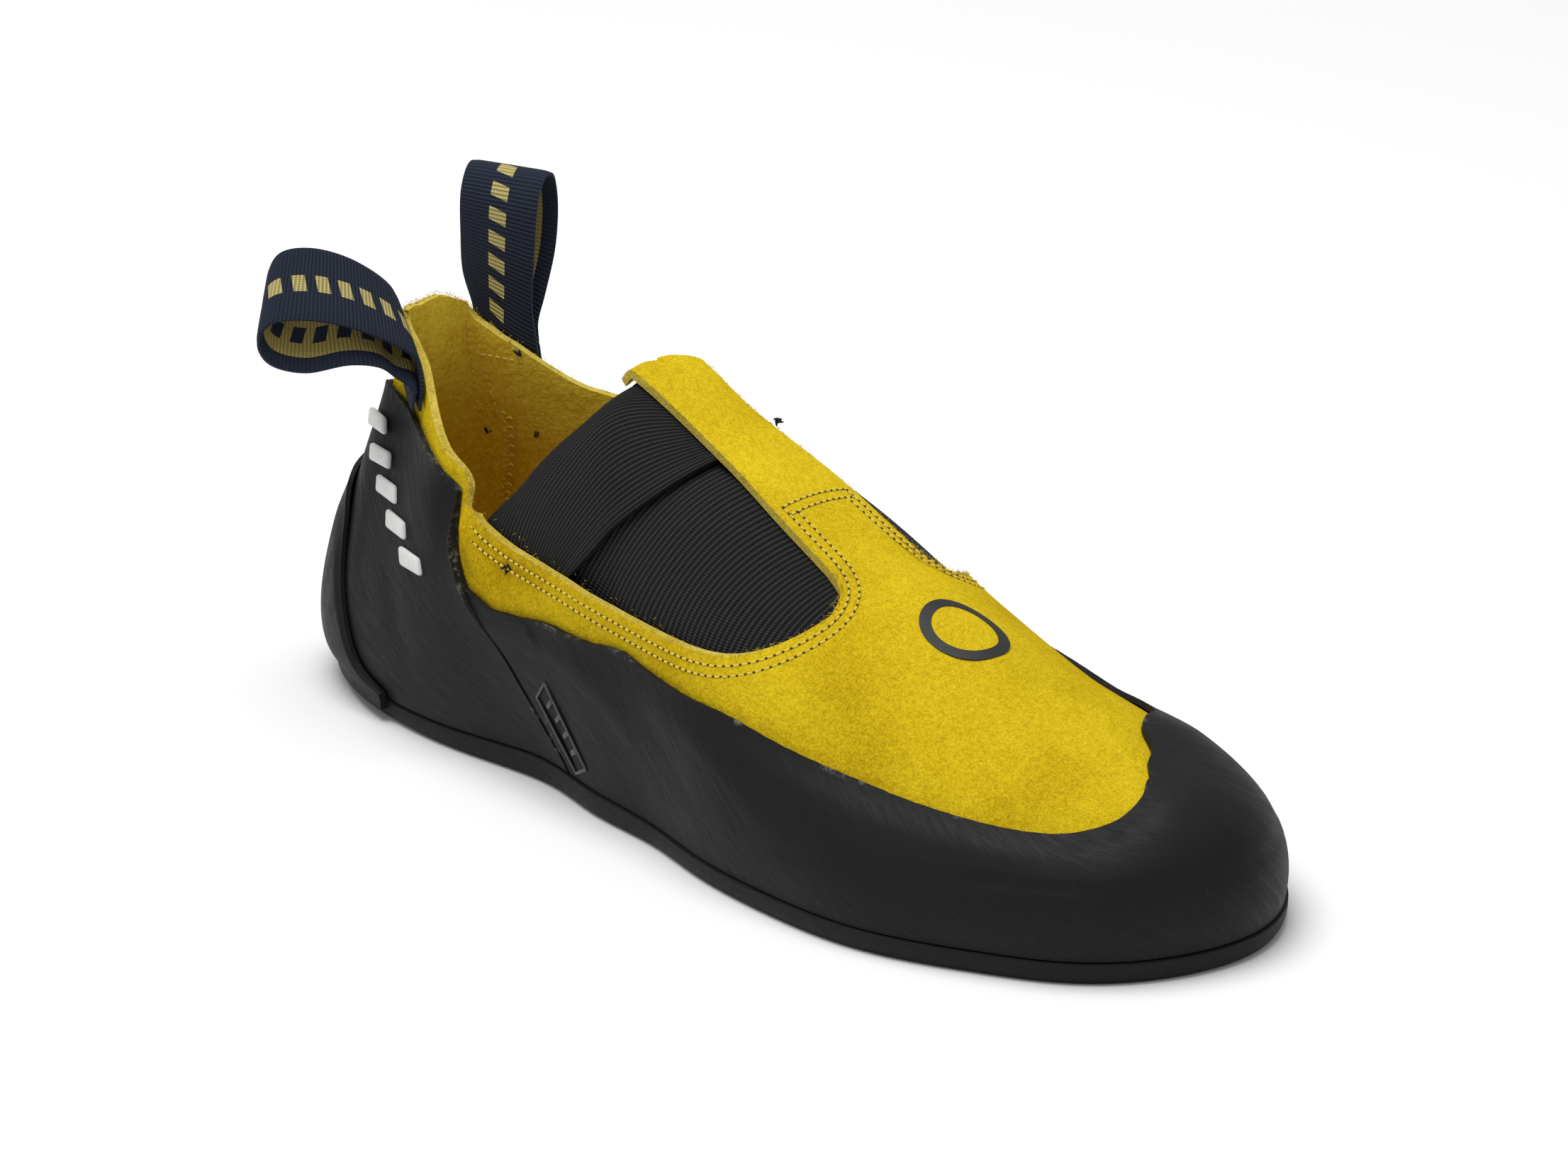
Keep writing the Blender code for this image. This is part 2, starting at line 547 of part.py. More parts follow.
def make_loop(name, rib, rows, side, home, surface):
    """A pull loop: a web whose two legs lie on the collar, one over the other, and stand free above it."""
    across = np.linspace(-1, 1, 5)
    rib = rib if side < 0 else ROUND - rib
    spacing = np.linalg.norm(form(rib + 0.5, 1.0) - form(rib - 0.5, 1.0))
    ribs = rib - side * across * WEB_WIDTH / 2 / spacing
    seat = np.linspace(LOOP_SEAT, 1.0, 4)[:, None]
    inner_leg = form(ribs, seat, GAP + WEB / 2)
    outer_leg = form(ribs, seat[::-1], 2 * GAP + 1.5 * WEB)
    run = unit(form(ribs[-1], 1.0) - form(ribs[0], 1.0))
    up = np.array([0, 0, 1.0])
    out = unit(np.cross(up, run)) * side
    rows = np.array(rows)
    middle = form(rib, 1.0) + LOOP_REACH * (out * rows[:, :1] + up * rows[:, 1:2])
    turned = unit(run - up * rows[:, 2:3] + out * rows[:, 3:4]) * WEB_WIDTH / 2
    free = middle[:, None] + turned[:, None] * across[None, :, None]
    lines = np.concatenate([inner_leg, free, outer_leg])
    fine = np.linspace(0, len(lines) - 1, 2 * len(lines) - 1)
    grid = catmull(lines, fine)
    ahead, aside = np.gradient(grid, axis=0), np.gradient(grid, axis=1)
    normal = unit(np.cross(ahead, aside)) * WEB / 2
    return wall_between(name, grid + normal, grid - normal, home, surface)


def catmull(values, at):
    slopes = np.gradient(values, axis=0)
    i = np.clip(np.floor(at).astype(int), 0, len(values) - 2)
    t = (at - i).reshape((-1,) + (1,) * (values.ndim - 1))
    return hermite(t, 1.0, values[i], values[i + 1], slopes[i], slopes[i + 1])


def main():
    for old in list(bpy.data.objects):
        bpy.data.objects.remove(old)
    home, cutters = collection("climbing_slipper"), collection("cutters")
    suede = material("yellow_suede", (0.76, 0.58, 0.05), 0.9)
    elastic = material("black_elastic", (0.015, 0.015, 0.017), 0.85)
    rubber = material("black_rubber", (0.022, 0.022, 0.024), 0.6)
    web = material("navy_webbing", (0.012, 0.018, 0.045), 0.7)
    board = material("insole_board", (0.35, 0.27, 0.06), 0.9)

    make_upper(home, cutters, suede)
    seat = SUEDE + GAP
    tuck = ELASTIC + 2 * SKIN_GAP
    make_band("rear_gore", REAR_BAND, lambda a: seat + GAP * (1 - ease(a / 0.3)), home, elastic, 7, 12)
    make_band("front_gore", FRONT_BAND, lambda a: seat + tuck * (1 - ease((a - 0.12) / 0.2)), home, elastic, 10, 11)
    make_toe_rand(home, rubber)
    make_heel_rand(home, rubber)
    make_outsole(home, cutters, rubber)
    make_insole(home, board)
    make_loop("pull_loop_outer", NEAR_LOOP_RIB, NEAR_LOOP, -1, home, web)
    make_loop("pull_loop_inner", FAR_LOOP_RIB, FAR_LOOP, 1, home, web)


main()
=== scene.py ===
# %% [markdown]
# # A suede climbing slipper
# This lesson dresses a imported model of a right-foot climbing slipper for a studio photograph.
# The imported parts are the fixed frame: their sizes and places never change here. Each cell
# makes one piece or one finish, and says first what it is on the real shoe.

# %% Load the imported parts
import json
import math

import bmesh
import bpy
import numpy as np
from mathutils import Matrix, Vector
from mathutils.bvhtree import BVHTree

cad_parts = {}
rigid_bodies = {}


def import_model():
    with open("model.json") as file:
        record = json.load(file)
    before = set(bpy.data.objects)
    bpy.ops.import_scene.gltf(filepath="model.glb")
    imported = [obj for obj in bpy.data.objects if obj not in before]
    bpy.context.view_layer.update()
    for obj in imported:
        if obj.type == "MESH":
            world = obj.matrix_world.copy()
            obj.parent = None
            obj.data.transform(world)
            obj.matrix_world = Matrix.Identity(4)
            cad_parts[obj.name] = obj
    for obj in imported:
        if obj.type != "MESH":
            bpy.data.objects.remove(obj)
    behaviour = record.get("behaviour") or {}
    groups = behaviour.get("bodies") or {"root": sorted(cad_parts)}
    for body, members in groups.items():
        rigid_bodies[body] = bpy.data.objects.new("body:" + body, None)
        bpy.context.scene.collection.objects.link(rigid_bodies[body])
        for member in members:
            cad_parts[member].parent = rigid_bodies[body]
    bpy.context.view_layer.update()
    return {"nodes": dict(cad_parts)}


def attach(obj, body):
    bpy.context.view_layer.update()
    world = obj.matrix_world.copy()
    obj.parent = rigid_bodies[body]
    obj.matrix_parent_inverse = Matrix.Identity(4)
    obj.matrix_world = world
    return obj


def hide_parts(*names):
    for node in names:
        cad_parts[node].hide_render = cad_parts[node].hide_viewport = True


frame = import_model()
print("parts:", sorted(frame["nodes"]))

# %% [markdown]
# ## The shape of the last
# A shoe is pulled over a last, a solid model of a foot, so every panel follows one smooth form.
# The form is described by ribs that run from the sole up to the collar or the ridge of the
# instep. The same table as in the parts' source is used, so the fine panels made here lie
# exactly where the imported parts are. A panel can then be drawn with two easy numbers: the rib
# it is on, and how high up that rib.

# %% Sizes and ribs of the last
LENGTH = 0.254
BALL_WIDTH = 0.088
INSTEP_HEIGHT = 0.084
HEEL_HEIGHT = 0.081
BALL_STATION = 0.175
SUEDE = 0.0018
ELASTIC = 0.0010
RAND = 0.0022
RAND_EDGE = 0.0012
HEEL_RUBBER = 0.0024
SOLE = 0.0050
SOLE_LEDGE = 0.0006
HEEL_CUP = 0.0018
HEEL_CUP_EDGE = 0.0010
HEEL_CUP_HEIGHT = 0.62
INSOLE = 0.0020
GAP = 0.0004
SKIN_GAP = 0.0003
STRAP_SHIFT = 0.0022
STRAP_WIDTH = 0.0190
WEB_WIDTH = 0.0170
WEB = 0.0012
LOOP_REACH = 0.0340
NEAR_LOOP_RIB = 1.9
FAR_LOOP_RIB = 1.75
LOOP_SEAT = 0.93

# A rib's foot on both sides and its lift, its handles, and its top, as shares of the sizes
COLUMNS = (
    "name outer_along outer_across inner_along inner_across outer_lift inner_lift"
    " swell rise reach drop fan top_along top_across top_height"
).split()
ROWS = [
    ("heel_back", 0.006, 0, 0.006, 0, 0.012, 0.012, 0.108, 0.225, -0.12, 0.35, 0, 0.072, 0, 0.995),
    ("heel_round", 0.041, 0.18, 0.041, 0.193, 0, 0, 0.126, 0.13, 0.19, 0.36, 0, 0.072, 0.1, 0.992),
    ("heel_side", 0.125, 0.305, 0.115, 0.29, 0, 0, 0.092, 0.27, 0.2, 0.35, 0, 0.112, 0.15, 0.92),
    ("ankle", 0.23, 0.342, 0.23, 0.3, 0.004, 0.012, 0.061, 0.387, 0.23, 0.3, 0, 0.2, 0.307, 0.762),
    ("gore_rear", 0.334, 0.334, 0.345, 0.249, 0.014, 0.04, 0.056, 0.454, 0.3, 0.25, 0, 0.247, 0.333, 0.645),
    ("throat_side", 0.413, 0.386, 0.429, 0.251, 0.012, 0.04, 0.055, 0.535, 0.45, 0.15, 0, 0.297, 0.235, 0.85),
    ("throat_top", 0.491, 0.417, 0.494, 0.28, 0.004, 0.02, 0.054, 0.538, 0.6, 0.07, 0, 0.34, 0, 1.006),
    ("instep", 0.57, 0.476, 0.586, 0.394, 0, 0.004, 0.057, 0.545, 0.56, 0, 0, 0.464, 0, 0.868),
    ("waist", 0.662, 0.512, 0.678, 0.46, 0, 0, 0.05, 0.507, 0.38, 0, 0, 0.576, 0, 0.722),
    ("ball", 0.756, 0.502, 0.754, 0.476, 0, 0, 0.046, 0.5, 0.22, 0, 0, 0.694, 0, 0.604),
    ("vamp", 0.848, 0.407, 0.843, 0.432, 0, 0, 0.058, 0.637, 0.36, 0, 20, 0.775, 0, 0.492),
    ("toe_side", 0.93, 0.25, 0.92, 0.318, 0, 0.002, 0.05, 0.67, 0.48, 0, 55, 0.827, 0, 0.438),
    ("toe_tip", 0.969, -0.06, 0.969, 0.06, 0.003, 0.003, 0.048, 0.743, 0.62, 0, 90, 0.856, 0, 0.413),
]
RIBS = [dict(zip(COLUMNS, row)) for row in ROWS]
TIP = len(RIBS) - 1
ROUND = 2 * TIP
HEEL_ROWS = 4
THROAT_TOP = 6
FOLDS = [
    ("collar_notch", 3.3, 1, 0.42, 0.26, 0.04),
    ("quarter_roll", 3.95, 0.92, 0.4, 0.2, -0.016),
    ("strap_roll", 6, 1, 0.4, 0.35, -0.022),
]
print("ribs once round the shoe:", ROUND)


# %% [markdown]
# Two kinds of curve run through the table. A closed one goes round the sole's outline and meets
# itself at the heel. An open one goes along the collar or the ridge and never overshoots its
# points, so a panel's edge doesn't ripple.

# %% Curves through a short table
def column(name):
    return np.array([rib[name] for rib in RIBS])


def hermite(t, step, start, end, slope_start, slope_end):
    return (
        (1 + 2 * t) * (1 - t) ** 2 * start
        + t * (1 - t) ** 2 * step * slope_start
        + t * t * (3 - 2 * t) * end
        + t * t * (t - 1) * step * slope_end
    )


def closed_curve(values, at):
    values = np.asarray(values, float)
    count = len(values)
    rows = 4 * np.eye(count) + np.roll(np.eye(count), 1, 0) + np.roll(np.eye(count), -1, 0)
    slopes = np.linalg.solve(rows, 3 * (np.roll(values, -1) - np.roll(values, 1)))
    at = np.asarray(at, float) % count
    first = np.floor(at).astype(int) % count
    second = (first + 1) % count
    ends = values[first], values[second], slopes[first], slopes[second]
    return hermite(at - np.floor(at), 1.0, *ends)


def open_curve(knots, values, at, flat_end=False):
    knots = np.asarray(knots, float)
    values = np.asarray(values, float)
    steps = np.diff(knots)
    rates = np.diff(values) / steps
    slopes = np.zeros(len(values))
    for i in range(1, len(knots) - 1):
        if rates[i - 1] * rates[i] > 0:
            before = 2 * steps[i] + steps[i - 1]
            after = steps[i] + 2 * steps[i - 1]
            slopes[i] = (before + after) / (before / rates[i - 1] + after / rates[i])
    slopes[0] = rates[0]
    slopes[-1] = 0 if flat_end else rates[-1]
    at = np.clip(np.asarray(at, float), knots[0], knots[-1])
    i = np.clip(np.searchsorted(knots, at, side="right") - 1, 0, len(steps) - 1)
    t = (at - knots[i]) / steps[i]
    return hermite(t, steps[i], values[i], values[i + 1], slopes[i], slopes[i + 1])


def table(rows, at):
    knots, values = zip(*rows)
    return open_curve(knots, values, at)


def passing_curve(values, at):
    slopes = np.gradient(values, axis=0)
    i = np.clip(np.floor(at).astype(int), 0, len(values) - 2)
    t = (at - i).reshape((-1,) + (1,) * (values.ndim - 1))
    return hermite(t, 1.0, values[i], values[i + 1], slopes[i], slopes[i + 1])


def through(rows, count):
    """As many points as asked for on a smooth curve through the rows."""
    return passing_curve(np.array(rows, float), np.linspace(0, len(rows) - 1, count))


def unit(vectors):
    return vectors / np.maximum(np.linalg.norm(vectors, axis=-1, keepdims=True), 1e-12)


def ease(t):
    t = np.clip(t, 0, 1)
    return t * t * (3 - 2 * t)


def points(x, y, z):
    return np.stack(np.broadcast_arrays(x, y, z), -1).astype(float)


print("collar rises to", round(float(column("top_height").max() * INSTEP_HEIGHT), 4))


# %% [markdown]
# A rib is a curve with four handles: its foot on the sole, the swell of the side, the reach of
# the top, and its top itself. From the heel to the throat the top is the collar, and from the
# throat to the toe it is the ridge over the instep. Here the origin is under the ball of the
# foot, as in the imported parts.

# %% From rib and height to a point of the shoe
def rib_number(s):
    s = np.asarray(s, float) % ROUND
    return np.where(s <= TIP, s, ROUND - s)


def foot_of(s):
    back = slice(TIP - 1, 0, -1)
    along = np.concatenate([column("outer_along"), column("inner_along")[back]]) * LENGTH
    across = np.concatenate([-column("outer_across"), column("inner_across")[back]]) * BALL_WIDTH
    step = 0.01
    x, y = closed_curve(along, s), closed_curve(across, s)
    run_x = closed_curve(along, s + step) - closed_curve(along, s - step)
    run_y = closed_curve(across, s + step) - closed_curve(across, s - step)
    k, on_outer = rib_number(s), np.asarray(s, float) % ROUND <= TIP
    outer_lift, inner_lift = (
        open_curve(range(TIP + 1), column(name), k) for name in ("outer_lift", "inner_lift")
    )
    lift = np.where(on_outer, outer_lift, inner_lift) * BALL_WIDTH
    return points(x - BALL_STATION, y, SOLE + lift), unit(points(run_y, -run_x, 0 * x)), lift


def top_of(s):
    k = rib_number(s)
    side = np.where(np.asarray(s, float) % ROUND <= TIP, -1.0, 1.0)
    heights = column("top_height") * INSTEP_HEIGHT
    heights[:HEEL_ROWS] *= HEEL_HEIGHT / INSTEP_HEIGHT
    collar, ridge = np.arange(THROAT_TOP + 1), np.arange(THROAT_TOP, TIP + 1)
    on_collar = k < THROAT_TOP

    def joined(values):
        early = open_curve(collar, values[: THROAT_TOP + 1], k, flat_end=True)
        late = open_curve(ridge, values[THROAT_TOP:], k)
        return np.where(on_collar, early, late)

    x, z = joined(column("top_along") * LENGTH) - BALL_STATION, joined(heights)
    half = open_curve(collar, column("top_across")[: THROAT_TOP + 1] * BALL_WIDTH, k)
    y = np.where(on_collar, half, 0.0) * side
    step = 0.05
    lower = np.clip(k - step, THROAT_TOP, TIP - step)
    upper = np.clip(k + step, THROAT_TOP + step, TIP)
    ridge_x, ridge_z = (
        open_curve(ridge, values[THROAT_TOP:], upper) - open_curve(ridge, values[THROAT_TOP:], lower)
        for values in (column("top_along") * LENGTH, heights)
    )
    return points(x, y, z), unit(points(ridge_x, 0 * x, ridge_z)), side


def fold_depth(s, v):
    depth = 0.0
    for _, rib, height, wide, tall, deep in FOLDS:
        distance = ((rib_number(s) - rib) / wide) ** 2 + ((v - height) / tall) ** 2
        depth = depth + deep * BALL_WIDTH * np.exp(-distance)
    return depth


def bare_form(s, v):
    s, v = np.broadcast_arrays(np.asarray(s, float), np.asarray(v, float))
    foot, out, _ = foot_of(s)
    top, ridge, side = top_of(s)
    k = rib_number(s)
    tall = (top - foot)[..., 2]
    deep = np.linalg.norm((top - foot) * (1, 1, 0), axis=-1)
    handles = ("swell", "rise", "reach", "fan", "drop")
    swell, rise, reach, fan, drop = (
        open_curve(range(TIP + 1), column(name), k) for name in handles
    )
    on_ridge = ease((k - 4.0) / 2.0)
    across = points(0 * k, side, 0 * k)
    fan = np.radians(fan)[..., None]
    arrive = across * np.cos(fan) + ridge * np.sin(fan)
    arrive = unit(out * (1 - on_ridge)[..., None] + arrive * on_ridge[..., None])
    up = np.array([0, 0, 1.0])
    low = foot + out * (swell * BALL_WIDTH)[..., None] + up * (rise * tall)[..., None]
    high = top + arrive * (reach * deep)[..., None] - up * (drop * tall * (1 - on_ridge))[..., None]
    v = v[..., None]
    return (1 - v) ** 3 * foot + 3 * v * (1 - v) ** 2 * low + 3 * v * v * (1 - v) * high + v**3 * top


def form(s, v, offset=0.0):
    """The point at rib s and share v of its height, pushed out along the wall by the offset."""
    s, v = np.broadcast_arrays(np.asarray(s, float), np.asarray(v, float))
    offset = np.broadcast_to(np.asarray(offset, float), s.shape)
    step = 0.02
    along = bare_form(s + step, v) - bare_form(s - step, v)
    rising = bare_form(s, np.minimum(v + step, 1)) - bare_form(s, np.maximum(v - step, 0))
    wall = unit(np.cross(along, rising))
    _, ridge, _ = top_of(s)
    crown = unit(np.cross(ridge, np.broadcast_to([0, 1.0, 0], ridge.shape)))
    at_ridge = ((v > 0.999) & (rib_number(s) >= THROAT_TOP - 1e-6))[..., None]
    wall = np.where(at_ridge, crown, wall)
    _, out, _ = foot_of(s)
    upright = ease(v / 0.2)[..., None]
    wall = unit(out * (1 - upright) + wall * upright)
    return bare_form(s, v) + wall * (offset - fold_depth(s, v))[..., None]


for place, s, v in (("heel", 0, 0.5), ("collar", 3, 1), ("toe", 12, 0.5)):
    print(place, "at", np.round(form(s, v), 4).tolist())

# %% [markdown]
# ## Camera, light and floor
# The photograph looks down on the outer side from the front quarter, through a long lens that
# flattens the perspective. The floor is nearly white, and two broad soft lights leave almost
# no shadow.

# %% Camera
def new_object(name, data):
    made = bpy.data.objects.new(name, data)
    bpy.context.scene.collection.objects.link(made)
    return made


AIM = Vector((-0.045, 0.0, 0.035))
AZIMUTH, ELEVATION, ROLL = math.radians(44.68), math.radians(21.5), math.radians(0.11)
DISTANCE = 1.5
level = math.cos(ELEVATION)
towards_camera = Vector(
    (math.sin(AZIMUTH) * level, -math.cos(AZIMUTH) * level, math.sin(ELEVATION))
)
lens = bpy.data.cameras.new("camera")
lens.sensor_width = 36
lens.lens = 167.5
lens.shift_x = -0.0134
lens.shift_y = 0.0360
lens.clip_start, lens.clip_end = 0.1, 50
camera = new_object("camera", lens)
camera.location = AIM + towards_camera * DISTANCE
look = (-towards_camera).to_track_quat("-Z", "Y").to_matrix().to_4x4()
camera.matrix_world = Matrix.Translation(camera.location) @ look @ Matrix.Rotation(ROLL, 4, "Z")
bpy.context.scene.camera = camera
print("camera at", [round(c, 3) for c in camera.location])

# %% [markdown]
# Every finish is a small tree of nodes. One helper adds a node with its settings and links, and
# another starts a finish with its main shader, so each material below reads as a short list of
# steps. Colours are written the way a paint picker shows them and turned into the plain light
# values that Blender works with.

# %% Wiring a material
def colour(hex_value):
    """An sRGB hex value as the linear colour that a shader reads."""
    parts = [int(hex_value[i : i + 2], 16) / 255 for i in (1, 3, 5)]
    linear = [c / 12.92 if c <= 0.04045 else ((c + 0.055) / 1.055) ** 2.4 for c in parts]
    return (*linear, 1.0)


def wire(tree, node, **inputs):
    """Sets inputs by name or number. A value is a number, a socket, or a node's first output."""
    for name, value in inputs.items():
        socket = node.inputs[int(name[1:]) if name[1:].isdigit() else name.replace("_", " ")]
        if isinstance(value, bpy.types.Node):
            value = value.outputs[0]
        if isinstance(value, bpy.types.NodeSocket):
            tree.links.new(value, socket)
        else:
            socket.default_value = value


def add(tree, kind, settings=None, **inputs):
    """Adds a node and wires its inputs. Its settings are a dict, or a sum's operation alone."""
    node = tree.nodes.new("ShaderNode" + kind)
    if isinstance(settings, str):
        settings = {"operation": settings}
    for name, value in (settings or {}).items():
        setattr(node, name, value)
    wire(tree, node, **inputs)
    return node


def new_material(name, base, roughness):
    made = bpy.data.materials.new(name)
    made.use_nodes = True
    tree = made.node_tree
    shader = tree.nodes["Principled BSDF"]
    wire(tree, shader, Base_Color=colour(base), Roughness=roughness)
    return made, tree, shader


print("middle grey in a shader:", round(colour("#808080")[0], 3))


# %% [markdown]
# The shoe stands on a white sweep. A large softbox above gives the broad pale sheen on the toe,
# a weak one opens the near side, and the even light of the room keeps the shadows soft.

# %% Floor and soft lights
bpy.ops.object.select_all(action="DESELECT")
bpy.ops.mesh.primitive_plane_add(size=8, location=(0, 0, 0))
floor = bpy.context.object
floor.name = "studio_floor"
# Matt white paper, rolled out as a sweep
paper = new_material("white_paper_floor", "#fbfbfb", 0.9)[0]
floor.data.materials.append(paper)

# Plain colours, with no film curve: a white floor and black rubber keep their own values
bpy.context.scene.view_settings.view_transform = "Standard"
world = bpy.data.worlds.new("studio_air")
bpy.context.scene.world = world
world.use_nodes = True
wire(world.node_tree, world.node_tree.nodes["Background"], Color=colour("#ffffff"), Strength=0.42)

LIT = Vector((-0.05, 0, 0.03))
for name, place, size, watts in (
    ("overhead_softbox", (-0.25, -0.2, 1.7), 1.4, 25),
    ("side_softbox", (0.5, -1.4, 0.9), 1, 0.5),
):
    light = bpy.data.lights.new(name, "AREA")
    light.shape, light.size, light.energy = "DISK", size, watts
    lamp = new_object(name, light)
    lamp.location = place
    lamp.rotation_euler = (LIT - Vector(place)).to_track_quat("-Z", "Y").to_euler()
    print(name, "gives", watts, "W")

# %% [markdown]
# ## Panels from flat grids
# A shoemaker cuts a flat panel and pulls it over the last. Blender can do the same: a flat grid
# is added, which already has a flat map of its surface, and each of its points is then moved to
# its place on the form. A second grid, turned over, is the lining side, and bridging the two
# edges closes the thickness.

# %% Pull a grid over the form
def places_of(mesh):
    """The places of a mesh's points, one to a row."""
    flat = np.zeros(3 * len(mesh.vertices))
    mesh.vertices.foreach_get("co", flat)
    return flat.reshape(-1, 3)


def move_points(mesh, places):
    mesh.vertices.foreach_set("co", places.astype(np.float32).ravel())
    mesh.update()


def pulled_grid(name, surface):
    """A grid primitive whose points take the places in the array surface[i, j]."""
    columns, rows = surface.shape[:2]
    bpy.ops.object.select_all(action="DESELECT")
    bpy.ops.mesh.primitive_grid_add(
        x_subdivisions=columns - 1, y_subdivisions=rows - 1, size=1, calc_uvs=True, location=(0, 0, 0)
    )
    grid = bpy.context.object
    grid.name = grid.data.name = name
    move_points(grid.data, np.transpose(surface, (1, 0, 2)))
    return grid


def close_up(work, piece, materials, sharp):
    """Joins doubled points, turns the faces outward and gives the piece its mesh and finishes."""
    bmesh.ops.remove_doubles(work, verts=work.verts, dist=1e-6)
    bmesh.ops.recalc_face_normals(work, faces=work.faces)
    for face in work.faces:
        face.smooth = True
    work.to_mesh(piece.data)
    work.free()
    for surface in materials:
        piece.data.materials.append(surface)
    piece.data.set_sharp_from_angle(angle=math.radians(sharp))
    print(piece.name, "faces:", len(piece.data.polygons))


print("the throat's top stands at", np.round(top_of(THROAT_TOP)[0], 4).tolist())

# %% [markdown]
# A panel needs a thickness, as a cut hide has. The outer and the inner face are two grids, the
# inner one turned over, and a strip of faces along each border is the cut edge. A second map in
# millimetres lets a finish repeat at its real size, whatever the panel's shape.

# %% Give a panel its thickness
SHARP = 50


def panel(name, outer, inner, materials, closed_round=False, top_rim=None):
    """A closed panel: an outer face, an inner face and the cut edge between them."""
    skin, lining = pulled_grid(name, outer), pulled_grid(name + "_lining", inner)
    columns, rows = outer.shape[:2]
    work = bmesh.new()
    work.from_mesh(skin.data)
    count = len(work.verts)
    outside = len(work.faces)
    work.from_mesh(lining.data)
    work.verts.ensure_lookup_table()
    work.faces.ensure_lookup_table()
    bmesh.ops.reverse_faces(work, faces=work.faces[outside:])
    for face in work.faces[outside:]:
        face.material_index = len(materials) - 1 if len(materials) > 2 else 0
    uv = work.loops.layers.uv.verify()

    def at(layer, i, j):
        return work.verts[layer * count + j * columns + i]

    chains = [[(i, 0) for i in range(columns)], [(i, rows - 1) for i in range(columns - 1, -1, -1)]]
    if not closed_round:
        chains.append([(columns - 1, j) for j in range(rows)])
        chains.append([(0, j) for j in range(rows - 1, -1, -1)])
    for chain in chains:
        for a, b in zip(chain, chain[1:]):
            if top_rim is not None and a[1] == b[1] == rows - 1 and not top_rim[min(a[0], b[0])]:
                continue
            face = work.faces.new((at(0, *b), at(0, *a), at(1, *a), at(1, *b)))
            face.material_index = 1
            for loop, (i, j) in zip(face.loops, (b, a, a, b)):
                loop[uv].uv = (i / (columns - 1), j / (rows - 1))
    bpy.data.objects.remove(lining)
    close_up(work, skin, materials, SHARP)
    return skin


def evenly(curve, count):
    """Shares along a curve of points, as many as asked for, the same real distance apart."""
    run = np.linspace(0, 1, 400)
    line = curve(run)
    length = np.concatenate([[0], np.cumsum(np.linalg.norm(np.diff(line, axis=0), axis=1))])
    return np.interp(np.linspace(0, length[-1], count), length, run), length[-1]


def measured_map(piece, length, width, middle=0.0):
    """A second map in millimetres, from the first one's shares."""
    mesh = piece.data
    shares = np.zeros(2 * len(mesh.loops))
    mesh.uv_layers["UVMap"].data.foreach_get("uv", shares)
    shares = shares.reshape(-1, 2) - (0, middle)
    fine = mesh.uv_layers.new(name="millimetres")
    fine.data.foreach_set("uv", (shares * (length * 1000, width * 1000)).ravel())
    mesh.uv_layers.active = mesh.uv_layers["UVMap"]
    mesh.uv_layers["UVMap"].active_render = True


print("edges sharper than", SHARP, "degrees are shaded as corners")

# %% [markdown]
# ## Finishes
# Suede is the napped flesh side of leather: short fibres lie in patches, so it looks mottled,
# it never shines, and its cut edges are paler and fluffy. Two noises carry it: a large one for
# patches of nap brushed different ways and a fine one for the fibres, which also drives the
# bump. A little sheen lightens it where it turns away.

# %% Suede
def napped(name, base, light, dark, patch_size, fibre_size, depth, sheen, roughness=0.95):
    """A nap with patches and fibres. The sizes are in metres."""
    made, tree, shader = new_material(name, base, roughness)
    where = add(tree, "TexCoord").outputs["Object"]
    patches = add(tree, "TexNoise", Vector=where, Scale=1 / patch_size, Detail=4.0, Roughness=0.6)
    fibres = add(tree, "TexNoise", Vector=where, Scale=1 / fibre_size, Detail=3.0, Roughness=0.7)
    clumps = add(tree, "TexNoise", Vector=where, Scale=0.35 / fibre_size, Detail=2.0)
    spread = add(tree, "MapRange", Value=patches, From_Min=0.32, From_Max=0.68)
    grain = add(tree, "MapRange", Value=fibres, From_Min=0.35, From_Max=0.65)
    soil = add(tree, "Attribute", {"attribute_name": "soil"})
    mixed = add(tree, "Math", "MULTIPLY_ADD", _0=spread, _1=0.22, _2=-0.02)
    mixed = add(tree, "Math", "MULTIPLY_ADD", _0=grain, _1=0.42, _2=mixed)
    mixed = add(tree, "Math", "MULTIPLY_ADD", _0=clumps, _1=0.45, _2=mixed)
    mixed = add(
        tree, "Math", {"operation": "ADD", "use_clamp": True}, _0=mixed, _1=soil.outputs["Fac"]
    )
    ramp = add(tree, "ValToRGB", Fac=mixed)
    ramp.color_ramp.elements[0].color = colour(light)
    ramp.color_ramp.elements[1].color = colour(dark)
    rough = add(tree, "Math", "ADD", _0=fibres, _1=clumps)
    bump = add(tree, "Bump", Height=rough, Strength=1.0, Distance=depth)
    wire(tree, shader, Base_Color=ramp, Normal=bump, Specular_IOR_Level=0.0)
    wire(tree, shader, Sheen_Weight=sheen, Sheen_Roughness=0.5, Sheen_Tint=colour("#f2dc6a"))
    return made


# Napped flesh-side suede, dyed yellow; the fibres are 0.3 mm in life and drawn at 0.5 mm
suede = napped("yellow_suede", "#b48c00", "#f5d92a", "#a5820a", 0.022, 0.0005, 0.00022, 0.05)
# The cut edge shows the undyed core of the hide, paler and fluffier
suede_edge = napped("cut_suede_edge", "#bca02a", "#ead668", "#a98d22", 0.006, 0.0005, 0.00030, 0.05)
# The inner side is unlined and rougher, with tufts about 1 mm across; its tones are painted lighter than the
# outer suede's, a painted light for the light inside the shoe
suede_inside_painted_lighter = napped("inner_suede_painted_light", "#b88a00", "#ffe452", "#d2a820", 0.012, 0.0010, 0.00040, 0.02)
# Pressed fibre board, dusty yellow inside the shoe
board = napped("insole_board", "#8d6f1c", "#bf9c24", "#8f7018", 0.010, 0.0009, 0.00015, 0.0, 0.9)
print("napped finishes:", suede.name, suede_edge.name, suede_inside_painted_lighter.name, board.name)
